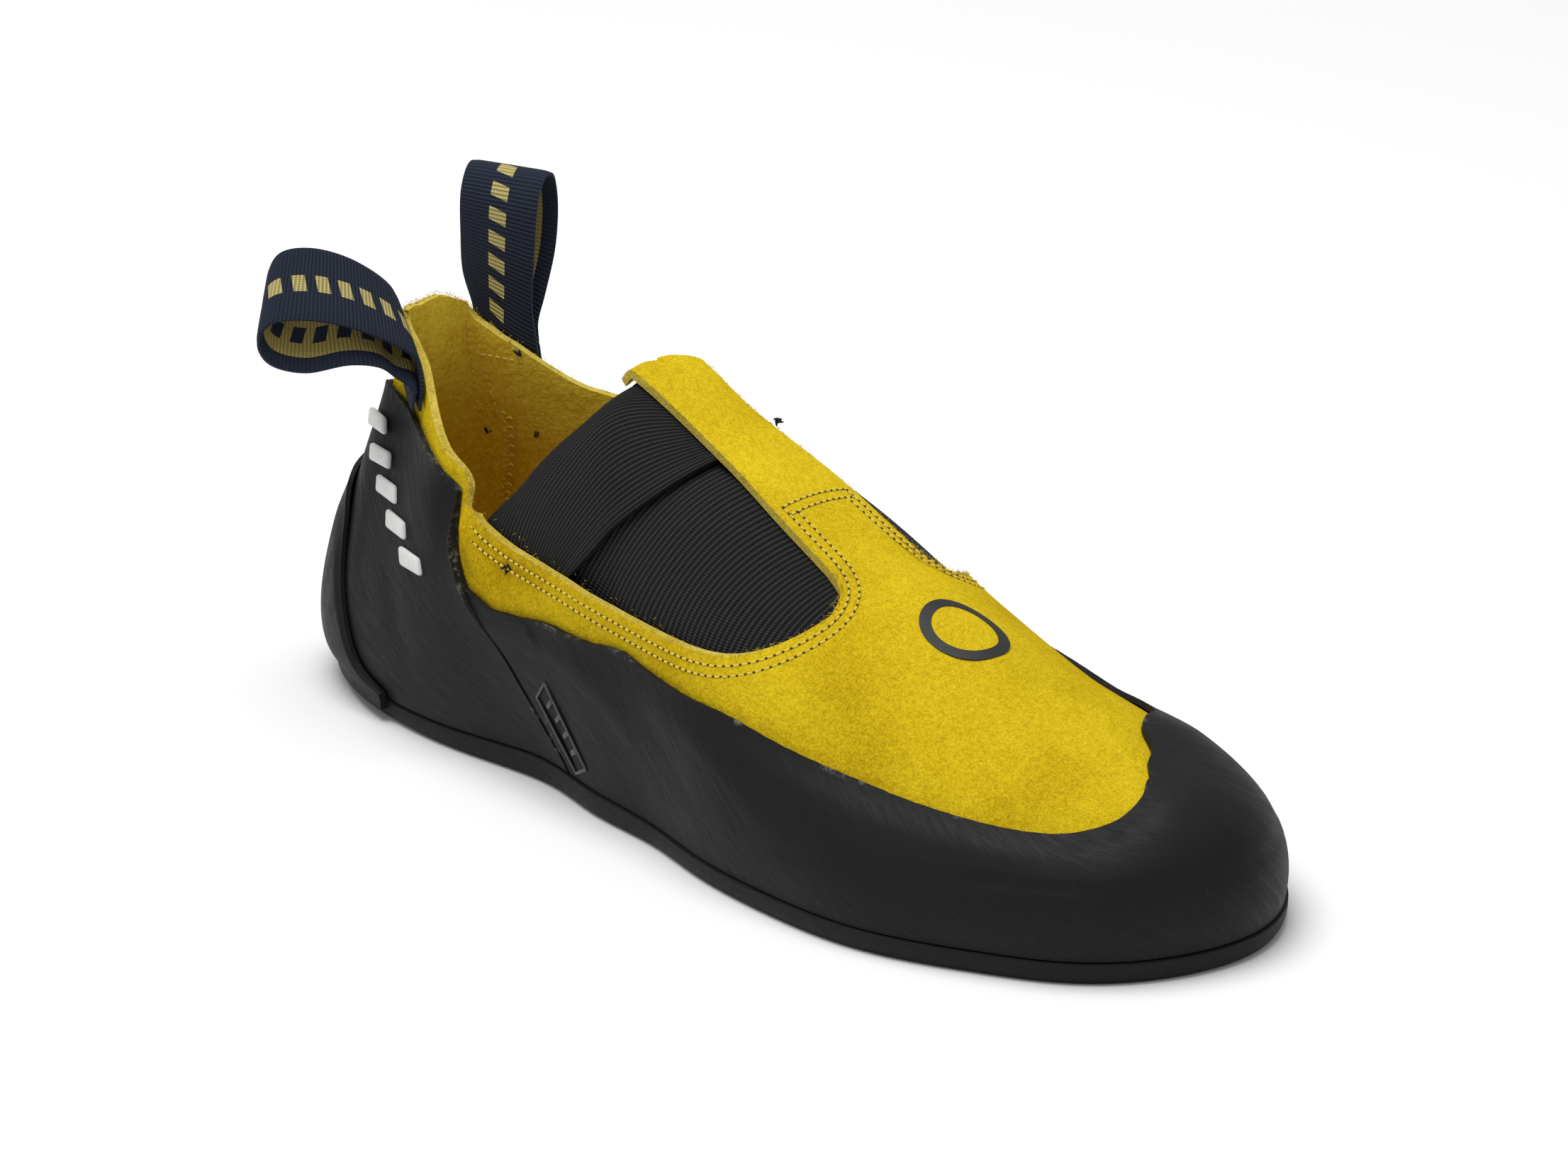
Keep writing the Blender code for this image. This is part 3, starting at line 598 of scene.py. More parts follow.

# %% [markdown]
# The gores are knitted elastic: soft ribs about 1.2 mm apart run across the foot, and each rib
# is crossed by fine stitches. The map's first number runs across the ribs, so one wave makes
# the ribs and a finer one the knit. The colour follows the waves too: the crests are painted
# lighter and the hollows darker, a painted highlight and shade.

# %% Ribbed elastic
def weave(tree, pitches):
    """The map in millimetres, its two numbers apart, and a wave of its own pitch along each."""
    where = add(tree, "UVMap", {"uv_map": "millimetres"}).outputs["UV"]
    split = add(tree, "SeparateXYZ", Vector=where)
    waves = []
    for axis, pitch in zip("XY", pitches):
        turns = {"_0": split.outputs[axis], "_1": 2 * math.pi / pitch}
        turns = add(tree, "Math", "MULTIPLY", **turns)
        waves.append(add(tree, "Math", "SINE", _0=turns))
    return where, split, *waves


# Both in millimetres, as the map is
RIB_PITCH, KNIT_PITCH = 1.25, 0.7
elastic, tree, shader = new_material("ribbed_elastic", "#0b0b0c", 0.8)
where, split, rib_wave, knit_wave = weave(tree, (RIB_PITCH, KNIT_PITCH))
slub = add(tree, "TexNoise", Vector=where, Scale=2.2, Detail=2.0)
height = add(tree, "Math", "MULTIPLY_ADD", _0=knit_wave, _1=0.5, _2=rib_wave)
height = add(tree, "Math", "MULTIPLY_ADD", _0=slub, _1=0.9, _2=height)
bump = add(tree, "Bump", Height=height, Strength=0.9, Distance=0.00016)
# Painted highlight and shade: the ribs' crests get a lighter tone and their hollows a darker one
shade = add(tree, "MapRange", Value=height, From_Min=0.0, From_Max=1.9)
painted_crest_light = add(tree, "ValToRGB", Fac=shade)
painted_crest_light.color_ramp.elements[0].color = colour("#0c0c0d")
painted_crest_light.color_ramp.elements[1].color = colour("#38383b")
wire(tree, shader, Base_Color=painted_crest_light, Normal=bump, Specular_IOR_Level=0.2)
print("elastic ribs every", RIB_PITCH, "mm")

# %% [markdown]
# The rubber is a satin black sheet. It is buffed before it is glued, which leaves fine curved
# grain lines across it. Its pared edges are scuffed grey, and pale dust lies on it in places.

# %% Rubber
def rubber_finish(name, grain_across, grain_along, scuff_from, end_scuff):
    """Satin rubber with grain lines in its map, which is in millimetres, and scuffed edges."""
    made, tree, shader = new_material(name, "#0c0c0d", 0.5)
    where = add(tree, "UVMap", {"uv_map": "millimetres"}).outputs["UV"]
    share = add(tree, "SeparateXYZ", Vector=add(tree, "UVMap", {"uv_map": "UVMap"}))
    space = add(tree, "TexCoord").outputs["Object"]
    sway = add(tree, "TexNoise", Vector=space, Scale=28.0, Detail=1.0)
    sway = add(tree, "VectorMath", "SCALE", _0=sway.outputs["Color"], Scale=7.0)
    drawn = add(tree, "VectorMath", "ADD", _0=where, _1=sway)
    grain_size, grain_turn = (1 / grain_across, 1 / grain_along, 1.0), (0, 0, 0.9)
    turned = {"vector_type": "TEXTURE"}
    drawn = add(tree, "Mapping", turned, Vector=drawn, Scale=grain_size, Rotation=grain_turn)
    grain = add(tree, "TexNoise", Vector=drawn, Scale=1.0, Detail=3.0, Roughness=0.65)
    skin = add(tree, "TexNoise", Vector=space, Scale=900.0, Detail=2.0)
    waves = add(tree, "TexNoise", Vector=space, Scale=55.0, Detail=1.0)
    height = add(tree, "Math", "MULTIPLY_ADD", _0=skin, _1=0.35, _2=grain)
    fine = add(tree, "Bump", Height=height, Strength=1.0, Distance=0.00010)
    soft = add(tree, "Bump", Height=waves, Normal=fine, Strength=0.5, Distance=0.0010)
    edge = add(
        tree, "MapRange", Value=share.outputs["Y"], From_Min=scuff_from, From_Max=scuff_from + 0.04
    )
    worn = add(tree, "TexNoise", Vector=space, Scale=420.0, Detail=4.0, Roughness=0.75)
    worn = add(tree, "MapRange", Value=worn, From_Min=0.52, From_Max=0.66)
    place = add(tree, "MapRange", Value=waves, From_Min=0.50, From_Max=0.64)
    worn = add(tree, "Math", "MULTIPLY", _0=worn, _1=place)
    end = add(tree, "Math", "PINGPONG", _0=share.outputs["X"], _1=0.5)
    end = add(tree, "MapRange", Value=end, From_Min=0.010, From_Max=0.002, To_Max=end_scuff)
    edge = add(tree, "Math", "MAXIMUM", _0=edge, _1=end)
    scuff = add(tree, "Math", "MULTIPLY", _0=edge, _1=worn)
    dust = add(tree, "TexVoronoi", Vector=space, Scale=330.0)
    speck = add(tree, "Math", "LESS_THAN", _0=dust, _1=0.045)
    speck = add(tree, "Math", "MULTIPLY", _0=speck, _1=0.22)
    pale = add(tree, "Math", "MAXIMUM", _0=scuff, _1=speck)
    pale = add(tree, "Math", "MULTIPLY", _0=pale, _1=0.8)
    base = add(
        tree, "Mix", {"data_type": "RGBA"}, _0=pale, _6=colour("#151516"), _7=colour("#77766f")
    )
    matt = add(tree, "MapRange", Value=grain, From_Min=0.3, From_Max=0.7, To_Min=0.50, To_Max=0.68)
    wire(tree, shader, Base_Color=base.outputs[2], Normal=soft, Roughness=matt)
    wire(tree, shader, Specular_IOR_Level=0.2)
    return made


# Natural rubber sheet, buffed with a wire wheel that leaves grain lines under 1 mm apart
BUFFED = {"grain_across": 1.3, "grain_along": 0.12}
rand_rubber = rubber_finish("rand_rubber", **BUFFED, scuff_from=0.960, end_scuff=0.6)
heel_rubber = rubber_finish("heel_rubber", **BUFFED, scuff_from=0.975, end_scuff=1.0)
# The sole is moulded, with a coarser, even grain and no pared edge to scuff
sole_rubber = rubber_finish("sole_rubber", 0.35, 0.35, scuff_from=2.0, end_scuff=0.0)
print("rubber finishes:", rand_rubber.name, heel_rubber.name, sole_rubber.name)

# %% [markdown]
# The loops are narrow woven tape. Ribs of weft cross it every 0.85 mm. The outer side is navy
# with a row of gold dashes; the inner side is a gold band with navy dashes and navy borders.

# %% Webbing
def tape(name, ground, mark, band):
    """Woven tape. The map is in millimetres: the length runs along X and the width along Y."""
    weft_pitch, warp_pitch, dash_pitch, dash_gap, dash_reach = 0.85, 0.55, 2.6, 1.15, 1.9
    made, tree, shader = new_material(name, ground, 0.8)
    where, split, weft, warp = weave(tree, (weft_pitch, warp_pitch))
    height = add(tree, "Math", "MULTIPLY_ADD", _0=warp, _1=0.3, _2=weft)
    bump = add(tree, "Bump", Height=height, Strength=0.9, Distance=0.00012)
    across = add(tree, "Math", "ABSOLUTE", _0=split.outputs["Y"])
    lean = {"_0": split.outputs["Y"], "_1": 0.25, "_2": split.outputs["X"]}
    slant = add(tree, "Math", "MULTIPLY_ADD", **lean)
    step = add(tree, "Math", "PINGPONG", _0=slant, _1=dash_pitch)
    dash = add(tree, "Math", "GREATER_THAN", _0=step, _1=dash_gap)
    inside = add(tree, "Math", "LESS_THAN", _0=across, _1=dash_reach)
    dash = add(tree, "Math", "MULTIPLY", _0=dash, _1=inside)
    banded = add(tree, "Math", "LESS_THAN", _0=across, _1=band)
    gold = add(tree, "Math", "SUBTRACT", _0=banded, _1=dash)
    gold = add(tree, "Math", "ABSOLUTE", _0=gold)
    # Painted shade: the low parts of the weave are mixed towards near-black
    shade = add(tree, "MapRange", Value=height, From_Min=-1.3, From_Max=1.3, To_Min=0.45, To_Max=1.0)
    base = add(tree, "Mix", {"data_type": "RGBA"}, _0=gold, _6=colour(ground), _7=colour(mark))
    shaded = {"_6": colour("#020204"), "_7": base.outputs[2]}
    base = add(tree, "Mix", {"data_type": "RGBA"}, _0=shade, **shaded)
    wire(tree, shader, Base_Color=base.outputs[2], Normal=bump, Specular_IOR_Level=0.3)
    return made


webbing = tape("navy_webbing", "#20293c", "#cfc07a", 0.0)
inner_webbing = tape("gold_banded_webbing", "#20293c", "#b9a75e", 5.2)
print("tape finishes:", webbing.name, inner_webbing.name)

# %% [markdown]
# The small things have plainer finishes: thread, the shade in a needle hole, moulded rubber,
# ink and loose fibres. One fine noise gives each of them two tones and a faint grain.

# %% Thread, ink and other plain finishes
def plain_grain(name, base, roughness, size, depth, tones, strength=0.5):
    made, tree, shader = new_material(name, base, roughness)
    where = add(tree, "TexCoord").outputs["Object"]
    grain = add(tree, "TexNoise", Vector=where, Scale=1 / size, Detail=2.0)
    bump = add(tree, "Bump", Height=grain, Strength=strength, Distance=depth)
    ramp = add(tree, "ValToRGB", Fac=grain)
    for stop, tone in zip(ramp.color_ramp.elements, tones):
        stop.color = colour(tone)
    wire(tree, shader, Base_Color=ramp, Normal=bump)
    return made


# Waxed polyester thread, pale yellow, about 0.45 mm thick
thread = plain_grain(
    "pale_yellow_thread", "#e2c94a", 0.7, 1 / 1800, 0.0001, ("#caa932", "#f2de6c"), 0.6
)
# The inside of a needle hole, in shade and dark with thread wax
hole_dark = plain_grain(
    "needle_hole_shade", "#3a2c06", 0.95, 1 / 1500, 0.0001, ("#2a2005", "#5a4510"), 0.0
)
# White moulded rubber, printed black ink on the nap, and glossy moulded black rubber
white_rubber = plain_grain(
    "white_moulded_rubber", "#e6e6e4", 0.45, 0.0012, 0.00008, ("#cfcfcb", "#e6e6e4")
)
black_ink = plain_grain("black_vamp_print", "#222221", 0.6, 0.0006, 0.0001, ("#151514", "#222221"))
glossy_rubber = plain_grain(
    "glossy_moulded_rubber", "#141415", 0.22, 0.0015, 0.00005, ("#0c0c0d", "#141415")
)
# Black polyester thread, left in knots and in the fold of the elastic
black_thread = plain_grain("black_thread", "#1c1c1d", 0.7, 0.0004, 0.0001, ("#0e0e0f", "#1c1c1d"))
# Loose collagen fibres, the same yellow as the hide
fibre = plain_grain("loose_suede_fibre", "#d8bf45", 0.9, 0.0010, 0.00002, ("#b99a20", "#d8bf45"))
print("finishes:", sorted(m.name for m in bpy.data.materials))

# %% [markdown]
# ## Soft folds
# Suede and rubber never lie quite smooth. Each fold is a short line drawn on the form, from rib
# and height to rib and height, with a half width and a height; a minus makes a trough.
# The wall is pushed out or in by a soft bell across that line, which fades at its ends.

# %% Troughs and ridges
def soft_folds(s, v, folds):
    flat = form(s, v).reshape(-1, 3)
    height = np.zeros(len(flat))
    rows = np.arange(len(flat))
    for _, knots, wide, high in folds:
        line = form(*through(knots, 16).T)
        start, run = line[:-1], np.diff(line, axis=0)
        away = flat[:, None] - start
        share = np.clip(np.sum(away * run, -1) / np.sum(run * run, -1), 0, 1)
        gap = np.linalg.norm(away - share[..., None] * run, axis=-1)
        nearest = gap.argmin(1)
        along = (nearest + share[rows, nearest]) / len(run)
        fade = np.sin(np.pi * np.clip(along, 0.03, 0.97))
        height += high * fade * np.exp(-((gap[rows, nearest] / wide) ** 2))
    return height.reshape(s.shape)


SUEDE_FOLDS = [
    ("vamp_break_outer", [(8.7, 0.55), (9.2, 0.75), (9.5, 0.93)], 0.006, -0.0007),
    ("vamp_break_inner", [(15.2, 0.55), (14.8, 0.75), (14.5, 0.93)], 0.006, -0.0007),
    ("vamp_swell", [(9.9, 0.6), (10.3, 0.78), (10.6, 0.95)], 0.0065, 0.0005),
    ("strap_foot_dip", [(7.9, 0.62), (8.1, 0.8), (8.4, 0.96)], 0.005, -0.0005),
    ("far_foot_dip", [(16.1, 0.62), (15.9, 0.8), (15.7, 0.96)], 0.005, -0.0005),
    ("quarter_dimple", [(3.7, 0.74), (4.3, 0.62), (5, 0.5)], 0.0034, -0.0006),
    ("quarter_swell", [(5, 0.42), (5.9, 0.42), (6.8, 0.44)], 0.004, 0.0005),
    ("notch_curl", [(3.5, 0.98), (3.75, 0.9), (3.8, 0.78)], 0.0024, 0.0013),
    ("collar_dimple", [(1.3, 0.97), (1.8, 0.88), (2.1, 0.78)], 0.004, -0.0006),
    ("far_collar_wave", [(21.2, 0.98), (20.9, 0.86), (20.8, 0.72)], 0.0042, 0.0008),
    ("far_quarter_dimple", [(20.2, 0.72), (19.4, 0.6), (18.8, 0.5)], 0.0038, -0.0006),
]
RUBBER_FOLDS = [
    ("heel_ripple_1", [(0.55, 0.76), (0.7, 0.48), (0.8, 0.18)], 0.003, 0.0004),
    ("heel_ripple_2", [(1, 0.78), (1.15, 0.5), (1.25, 0.2)], 0.0026, -0.0004),
    ("heel_ripple_3", [(1.45, 0.7), (1.6, 0.45), (1.75, 0.2)], 0.003, 0.0004),
    ("heel_ripple_4", [(2.2, 0.5), (2.4, 0.34), (2.6, 0.14)], 0.0036, -0.0004),
    ("far_heel_ripple_1", [(23.1, 0.76), (23, 0.48), (22.9, 0.18)], 0.003, 0.0004),
    ("far_heel_ripple_2", [(22.4, 0.7), (22.2, 0.45), (22.1, 0.2)], 0.0032, -0.0004),
    ("waist_pull_1", [(4.9, 0.28), (5.5, 0.2), (6.2, 0.08)], 0.0032, 0.0005),
    ("waist_pull_2", [(5.6, 0.27), (6.4, 0.19), (7.2, 0.08)], 0.0034, -0.0004),
    ("waist_pull_3", [(6.6, 0.28), (7.4, 0.22), (8.4, 0.12)], 0.0036, 0.0004),
    ("far_waist_pull", [(18.8, 0.34), (18, 0.24), (17, 0.1)], 0.0036, -0.0005),
    (
        "sole_step",
        [(7.4, 0.06), (8.4, 0.14), (9.6, 0.2), (10.8, 0.24), (12, 0.26), (13.2, 0.24), (14.4, 0.16)],
        0.0010, -0.00035,
    ),
    ("toe_cap_dip", [(10.6, 0.36), (11, 0.44), (11.6, 0.6)], 0.004, -0.0005),
    ("toe_cap_swell", [(10.2, 0.22), (10.9, 0.26), (11.7, 0.34)], 0.005, 0.0005),
]
print("folds:", len(SUEDE_FOLDS) + len(RUBBER_FOLDS))

# %% [markdown]
# ## The upper
# One shell of suede about 2 mm thick, pulled over the last. A grid is closed into a ring round
# the foot, and the two windows for the elastic are then cut with a Boolean, the way a knife
# cuts the real panel.

# %% Upper shell
UPPER_COLUMNS, UPPER_ROWS = 361, 61
UNEVEN_COLLAR = 0.007
upper_s, upper_v = np.meshgrid(
    np.linspace(0, ROUND, UPPER_COLUMNS), np.linspace(0, 1, UPPER_ROWS), indexing="ij"
)
upper_creases = soft_folds(upper_s, upper_v, SUEDE_FOLDS)
# The scissors never follow the collar quite evenly
wobble = 0.5 + 0.3 * np.sin(5.1 * upper_s) + 0.2 * np.sin(13.7 * upper_s + 0.8)
upper_v = upper_v * (1 - UNEVEN_COLLAR * wobble * ease((5.0 - rib_number(upper_s)) / 1.0))
# How far the collar's edge rises above the form or dips below it, from rib to rib
COLLAR_RISE = [
    (0, 0.004), (1, 0.003), (1.9, 0.0008), (2.6, 0), (3.5, 0), (19.6, 0), (20.3, 0.003),
    (20.7, 0.004), (20.95, 0.0022), (21.2, -0.0006), (21.45, -0.0026), (21.7, -0.002), (22, -0.001),
    (22.4, -0.001), (22.8, -0.0004), (23.2, 0.001), (23.7, 0.0032), (24, 0.004),
]
rise = table(COLLAR_RISE, upper_s) * ease((upper_v - 0.82) / 0.18)
rise = rise[..., None] * np.array([0, 0, 1.0])
middle_of_column = rib_number(upper_s[:-1, 0] + 0.5 * ROUND / (UPPER_COLUMNS - 1))
upper = panel(
    "suede_upper",
    form(upper_s, upper_v, upper_creases) + rise,
    form(upper_s, upper_v, upper_creases - SUEDE) + rise,
    (suede, suede_edge, suede_inside_painted_lighter),
    closed_round=True,
    top_rim=list(middle_of_column < THROAT_TOP),
)

# %% [markdown]
# The window is as wide as its edge in side view and leaves the strap standing in plan, so two
# outlines are pushed through the shoe and only what lies inside both is cut away.

# %% Cut the windows
QUARTER_EDGE = [
    (0.246, 0.652), (0.262, 0.628), (0.305, 0.602), (0.368, 0.585), (0.422, 0.562), (0.49, 0.545),
    (0.537, 0.54), (0.565, 0.546), (0.586, 0.568), (0.603, 0.604), (0.612, 0.65),
]
STRAP_EDGE = [
    (0.2, 1.02), (0.335, 1), (0.394, 0.93), (0.441, 1), (0.472, 1.08), (0.512, 1.19),
    (0.555, 1.26), (0.583, 1.33), (0.598, 1.5), (0.606, 1.85), (0.611, 2.4),
]


def side_window(count=80):
    return through(QUARTER_EDGE, count) * (LENGTH, INSTEP_HEIGHT) - (BALL_STATION, 0)


def strap_side(side, count=80):
    half = side * STRAP_WIDTH / 2
    return through(STRAP_EDGE, count) * (LENGTH, half) + (-BALL_STATION, STRAP_SHIFT)


def prism(name, outline, axis, reach):
    """A closed outline drawn square to the axis and run along it."""
    ends = {"Y": lambda a, b, c: (a, c, b), "Z": lambda a, b, c: (a, b, c)}[axis]
    work = bmesh.new()
    face = work.faces.new([work.verts.new(ends(a, b, reach[0])) for a, b in outline])
    pushed = bmesh.ops.extrude_face_region(work, geom=[face])
    moved = [v for v in pushed["geom"] if isinstance(v, bmesh.types.BMVert)]
    bmesh.ops.translate(work, verts=moved, vec=ends(0, 0, reach[1] - reach[0]))
    bmesh.ops.recalc_face_normals(work, faces=work.faces)
    mesh = bpy.data.meshes.new(name)
    work.to_mesh(mesh)
    work.free()
    return new_object(name, mesh)


def carve(target, cutter, operation):
    cut = target.modifiers.new("cut", "BOOLEAN")
    cut.object, cut.operation, cut.solver = cutter, operation, "EXACT"
    cut.material_mode = "TRANSFER"
    bpy.ops.object.select_all(action="DESELECT")
    bpy.context.view_layer.objects.active = target
    target.select_set(True)
    bpy.ops.object.modifier_apply(modifier="cut")
    bpy.data.objects.remove(cutter)


HIGH = 1.6 * INSTEP_HEIGHT
for side in (-1, 1):
    edge = side_window()
    window = [tuple(p) for p in edge] + [(edge[-1][0], HIGH), (edge[0][0], HIGH)]
    plan_edge = strap_side(side)
    wide = side * BALL_WIDTH
    plan = [tuple(p) for p in plan_edge] + [(plan_edge[-1][0], wide), (plan_edge[0][0], wide)]
    cutter = prism("window_cutter", window, "Y", (-BALL_WIDTH, BALL_WIDTH))
    cutter.data.materials.append(suede_edge)
    limit = prism("window_limit", plan, "Z", (0.2 * INSTEP_HEIGHT, HIGH + SUEDE))
    limit.data.materials.append(suede_edge)
    carve(cutter, limit, "INTERSECT")
    carve(upper, cutter, "DIFFERENCE")
upper.data.set_sharp_from_angle(angle=math.radians(SHARP))
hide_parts("upper")
print("upper faces:", len(upper.data.polygons), "materials:", [m.name for m in upper.data.materials])

# %% [markdown]
# ## The elastic gores
# Two bands of ribbed elastic fill the throat, so the slipper needs no laces. The rear band lies
# over the front one with its edge folded under. A row of the table is one line of the weave,
# from its end under the quarter to the ridge; the other half mirrors it.

# %% Elastic bands
REAR_BAND = [
    ((4, 0.84), (4, 0.98), (4.5, 1), (5.05, 0.985), (5.44, 0.985), (5.92, 1)),
    ((4.45, 0.6), (4.85, 0.69), (5.3, 0.745), (5.75, 0.8), (6.15, 0.88), (6.52, 1)),
    ((4.85, 0.43), (5.45, 0.47), (6.05, 0.523), (6.42, 0.628), (6.7, 0.78), (6.84, 1)),
]
FRONT_BAND = [
    ((4.6, 0.42), (5.15, 0.485), (5.7, 0.545), (6.12, 0.635), (6.4, 0.79), (6.55, 1)),
    ((5.7, 0.27), (6.05, 0.365), (6.42, 0.465), (6.75, 0.61), (7, 0.79), (7.15, 1)),
    ((7.1, 0.3), (7.22, 0.41), (7.4, 0.54), (7.6, 0.68), (7.78, 0.83), (7.9, 1)),
    ((8.4, 0.5), (8.44, 0.59), (8.48, 0.69), (8.54, 0.79), (8.6, 0.89), (8.65, 1)),
]


# How often the weave is evened out, before and after it is laid back on the form
EVENING, LAST_EVENING = 110, 12


def skin_of_form():
    """The bare form as a fine mesh, to find the nearest point of it."""
    s, v = np.linspace(0, ROUND, 20 * ROUND + 1), np.linspace(0, 1, 61)
    grid = form(*np.meshgrid(s, v, indexing="ij"))
    first = np.arange((len(s) - 1) * len(v)).reshape(len(s) - 1, len(v))[:, :-1].ravel()
    quads = np.stack([first, first + len(v), first + len(v) + 1, first + 1], 1)
    return BVHTree.FromPolygons(grid.reshape(-1, 3).tolist(), quads.tolist())


SKIN = skin_of_form()


def snapped(places):
    """The nearest places on the form."""
    flat = [SKIN.find_nearest(p)[0] for p in places.reshape(-1, 3)]
    return np.array(flat).reshape(places.shape)


def softened(grid, times):
    """Evens out a grid of points, with its borders held."""
    grid = grid.copy()
    for _ in range(times):
        grid[1:-1, 1:-1] = 0.5 * grid[1:-1, 1:-1] + 0.125 * (
            grid[2:, 1:-1] + grid[:-2, 1:-1] + grid[1:-1, 2:] + grid[1:-1, :-2]
        )
        ends = grid[[0, -1]]
        grid[[0, -1], 1:-1] = 0.5 * ends[:, 1:-1] + 0.25 * (ends[:, 2:] + ends[:, :-2])
    return grid


def elastic_band(name, rows, depth_of, columns, half_rows):
    rows = np.array(rows)
    k, v = np.moveaxis(rows, -1, 0)
    net = form(np.concatenate([k, ROUND - k[:, -2::-1]], 1), np.concatenate([v, v[:, -2::-1]], 1))
    last_line, last_mark = len(net) - 1, net.shape[1] - 1
    a, width = evenly(lambda run: passing_curve(net[:, 3], run * last_line), columns)
    across = passing_curve(net, a * last_line)
    middle_line = across[columns // 2]
    b, length = evenly(lambda run: passing_curve(middle_line, run * last_mark), 2 * half_rows + 1)
    grid = passing_curve(across.swapaxes(0, 1), b * last_mark).swapaxes(0, 1)
    grid = softened(snapped(softened(snapped(grid), EVENING)), LAST_EVENING)
    inward = unit(np.cross(np.gradient(grid, axis=1), np.gradient(grid, axis=0)))
    depth = depth_of(a)[:, None, None]
    band = panel(name, grid + inward * depth, grid + inward * (depth + ELASTIC), (elastic, elastic))
    measured_map(band, width, length)
    print(name, "is", round(width * 1000), "mm wide and", round(length * 1000), "mm long")
    return band, width, grid


SEAT = SUEDE + GAP
TUCK = ELASTIC + 2 * SKIN_GAP
FOLD_RISE = 0.0004


def rear_depth(a):
    fold = ease((a - 0.90) / 0.04) * (1 - ease((a - 0.985) / 0.015))
    return SEAT + GAP * (1 - ease(a / 0.3)) - FOLD_RISE * fold


def front_depth(a):
    return SEAT + TUCK * (1 - ease((a - 0.12) / 0.2))


rear_gore, rear_width, rear_grid = elastic_band("rear_gore_elastic", REAR_BAND, rear_depth, 90, 44)
front_gore = elastic_band("front_gore_elastic", FRONT_BAND, front_depth, 120, 44)[0]
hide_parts("rear_gore")
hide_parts("front_gore")

# %% [markdown]
# ## The rubber rands
# Sheets of rubber glued over the suede: one runs round the toe and back to the waist, and a
# thicker one wraps the heel. Their top edges are pared thin.

# %% Toe and heel rands
TOE_RAND_TOP = [
    (3.5, 0.59), (3.8, 0.585), (4.2, 0.53), (4.5, 0.45), (5, 0.35), (5.5, 0.3), (6.1, 0.285),
    (6.8, 0.3), (7.6, 0.34), (8.6, 0.36), (9.9, 0.39), (10.5, 0.43), (11, 0.52), (11.4, 0.66),
    (11.7, 0.78), (12.1, 0.85), (12.5, 0.84), (13.1, 0.772), (13.5, 0.735), (13.8, 0.665),
    (14.2, 0.52), (15.4, 0.38), (16.5, 0.34), (17.8, 0.33), (19, 0.37), (19.8, 0.53), (20.2, 0.585),
    (20.5, 0.59),
]
HEEL_RAND_TOP = [(0, 0.8), (1, 0.84), (2.1, 0.87), (2.8, 0.925), (3.6, 0.945)]
HEEL_RAND_FRONT = [(0, 4.5), (0.1, 4.25), (0.25, 4.1), (0.4, 4), (0.55, 3.6), (0.75, 3.3), (1, 3.2)]
RAND_SPLIT = 0.04
PARED_FROM = 0.75
UNEVEN_CUT = 0.0010
# Length and width of each sheet, for its map
TOE_RAND_SIZE = (0.46, 0.030)
HEEL_RAND_SIZE = (0.19, 0.062)


def thinned(full, edge, share, start):
    return full + (edge - full) * ease((share - start) / (1 - start))


def rand_front(v):
    return table(HEEL_RAND_FRONT, v) + RAND_SPLIT


def ragged(at, size):
    """Uneven trimming of a knife-cut edge, from three waves of unlike lengths."""
    waves = ((31, 0, 0.5), (83, 1.3, 0.3), (197, 0.4, 0.2))
    return size * sum(share * np.sin(at * rate + shift) for rate, shift, share in waves)


def rubber_sheet(name, s, v, b, full, finish, size):
    """A rubber panel. Its share b runs from the sole up to the pared edge."""
    folded = soft_folds(s, v, RUBBER_FOLDS) * ease((1 - b) / 0.15)
    thick = thinned(full, RAND_EDGE, b, PARED_FROM) + folded
    sheet = panel(name, form(s, v, GAP + thick), form(s, v, GAP + 0 * s), (finish, finish))
    measured_map(sheet, *size)
    return sheet


start = rand_front(TOE_RAND_TOP[0][1])
top_s = np.linspace(start, ROUND - start, 361)[:, None]
top_v = table(TOE_RAND_TOP, top_s) + ragged(top_s, UNEVEN_CUT)
share = (top_s - rand_front(top_v)) / (ROUND - 2 * rand_front(top_v))
b = np.linspace(0, 1, 30)[None, :]
v = b * top_v
s = rand_front(v) + (ROUND - 2 * rand_front(v)) * share
toe_rand = rubber_sheet("toe_rand_rubber", s, v, b, RAND, rand_rubber, TOE_RAND_SIZE)
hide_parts("toe_rand")

a = np.linspace(-1, 1, 181)[:, None]
b = np.linspace(0, 1, 60)[None, :]
v = b * (table(HEEL_RAND_TOP, abs(a) * HEEL_RAND_FRONT[-1][1]) + ragged(a * 4, UNEVEN_CUT))
s = a * table(HEEL_RAND_FRONT, v)
heel_rand = rubber_sheet("heel_rand_rubber", s, v, b, HEEL_RUBBER, heel_rubber, HEEL_RAND_SIZE)
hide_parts("heel_rand")

# %% [markdown]
# ## Sole and insole
# The outsole is a thin plate of climbing rubber with a rounded lower corner. It is one grid
# whose rows are rings, from the middle underneath out to the edge and back to the middle on top.

# %% Outsole
UNDER_OUTER = [(0, 1), (2, 1), (3, 0.15), (5.5, 0.15), (7, 1), (12, 1)]
# The sole's corner turns up to this share of its thickness
CORNER_SHARE = 0.72
SOLE_SIZE = (0.60, 0.10)
SOLE_ROUNDING = [(0, 1.3), (1.2, 1.1), (2.2, 0.6), (3, 0.4), (5, 0.35), (8, 0.35), (12, 0.4)]


def spine_of(s):
    k = np.clip(rib_number(s), 1.3, TIP - 1.3)
    return 0.5 * (foot_of(k)[0] + foot_of(ROUND - k)[0])


def ring_plate(name, rings, materials):
    """A plate whose section is a chain of rings, from the middle underneath out and back on top."""
    plate = pulled_grid(name, np.stack(rings, 1))
    work = bmesh.new()
    work.from_mesh(plate.data)
    close_up(work, plate, materials, 40)
    return plate


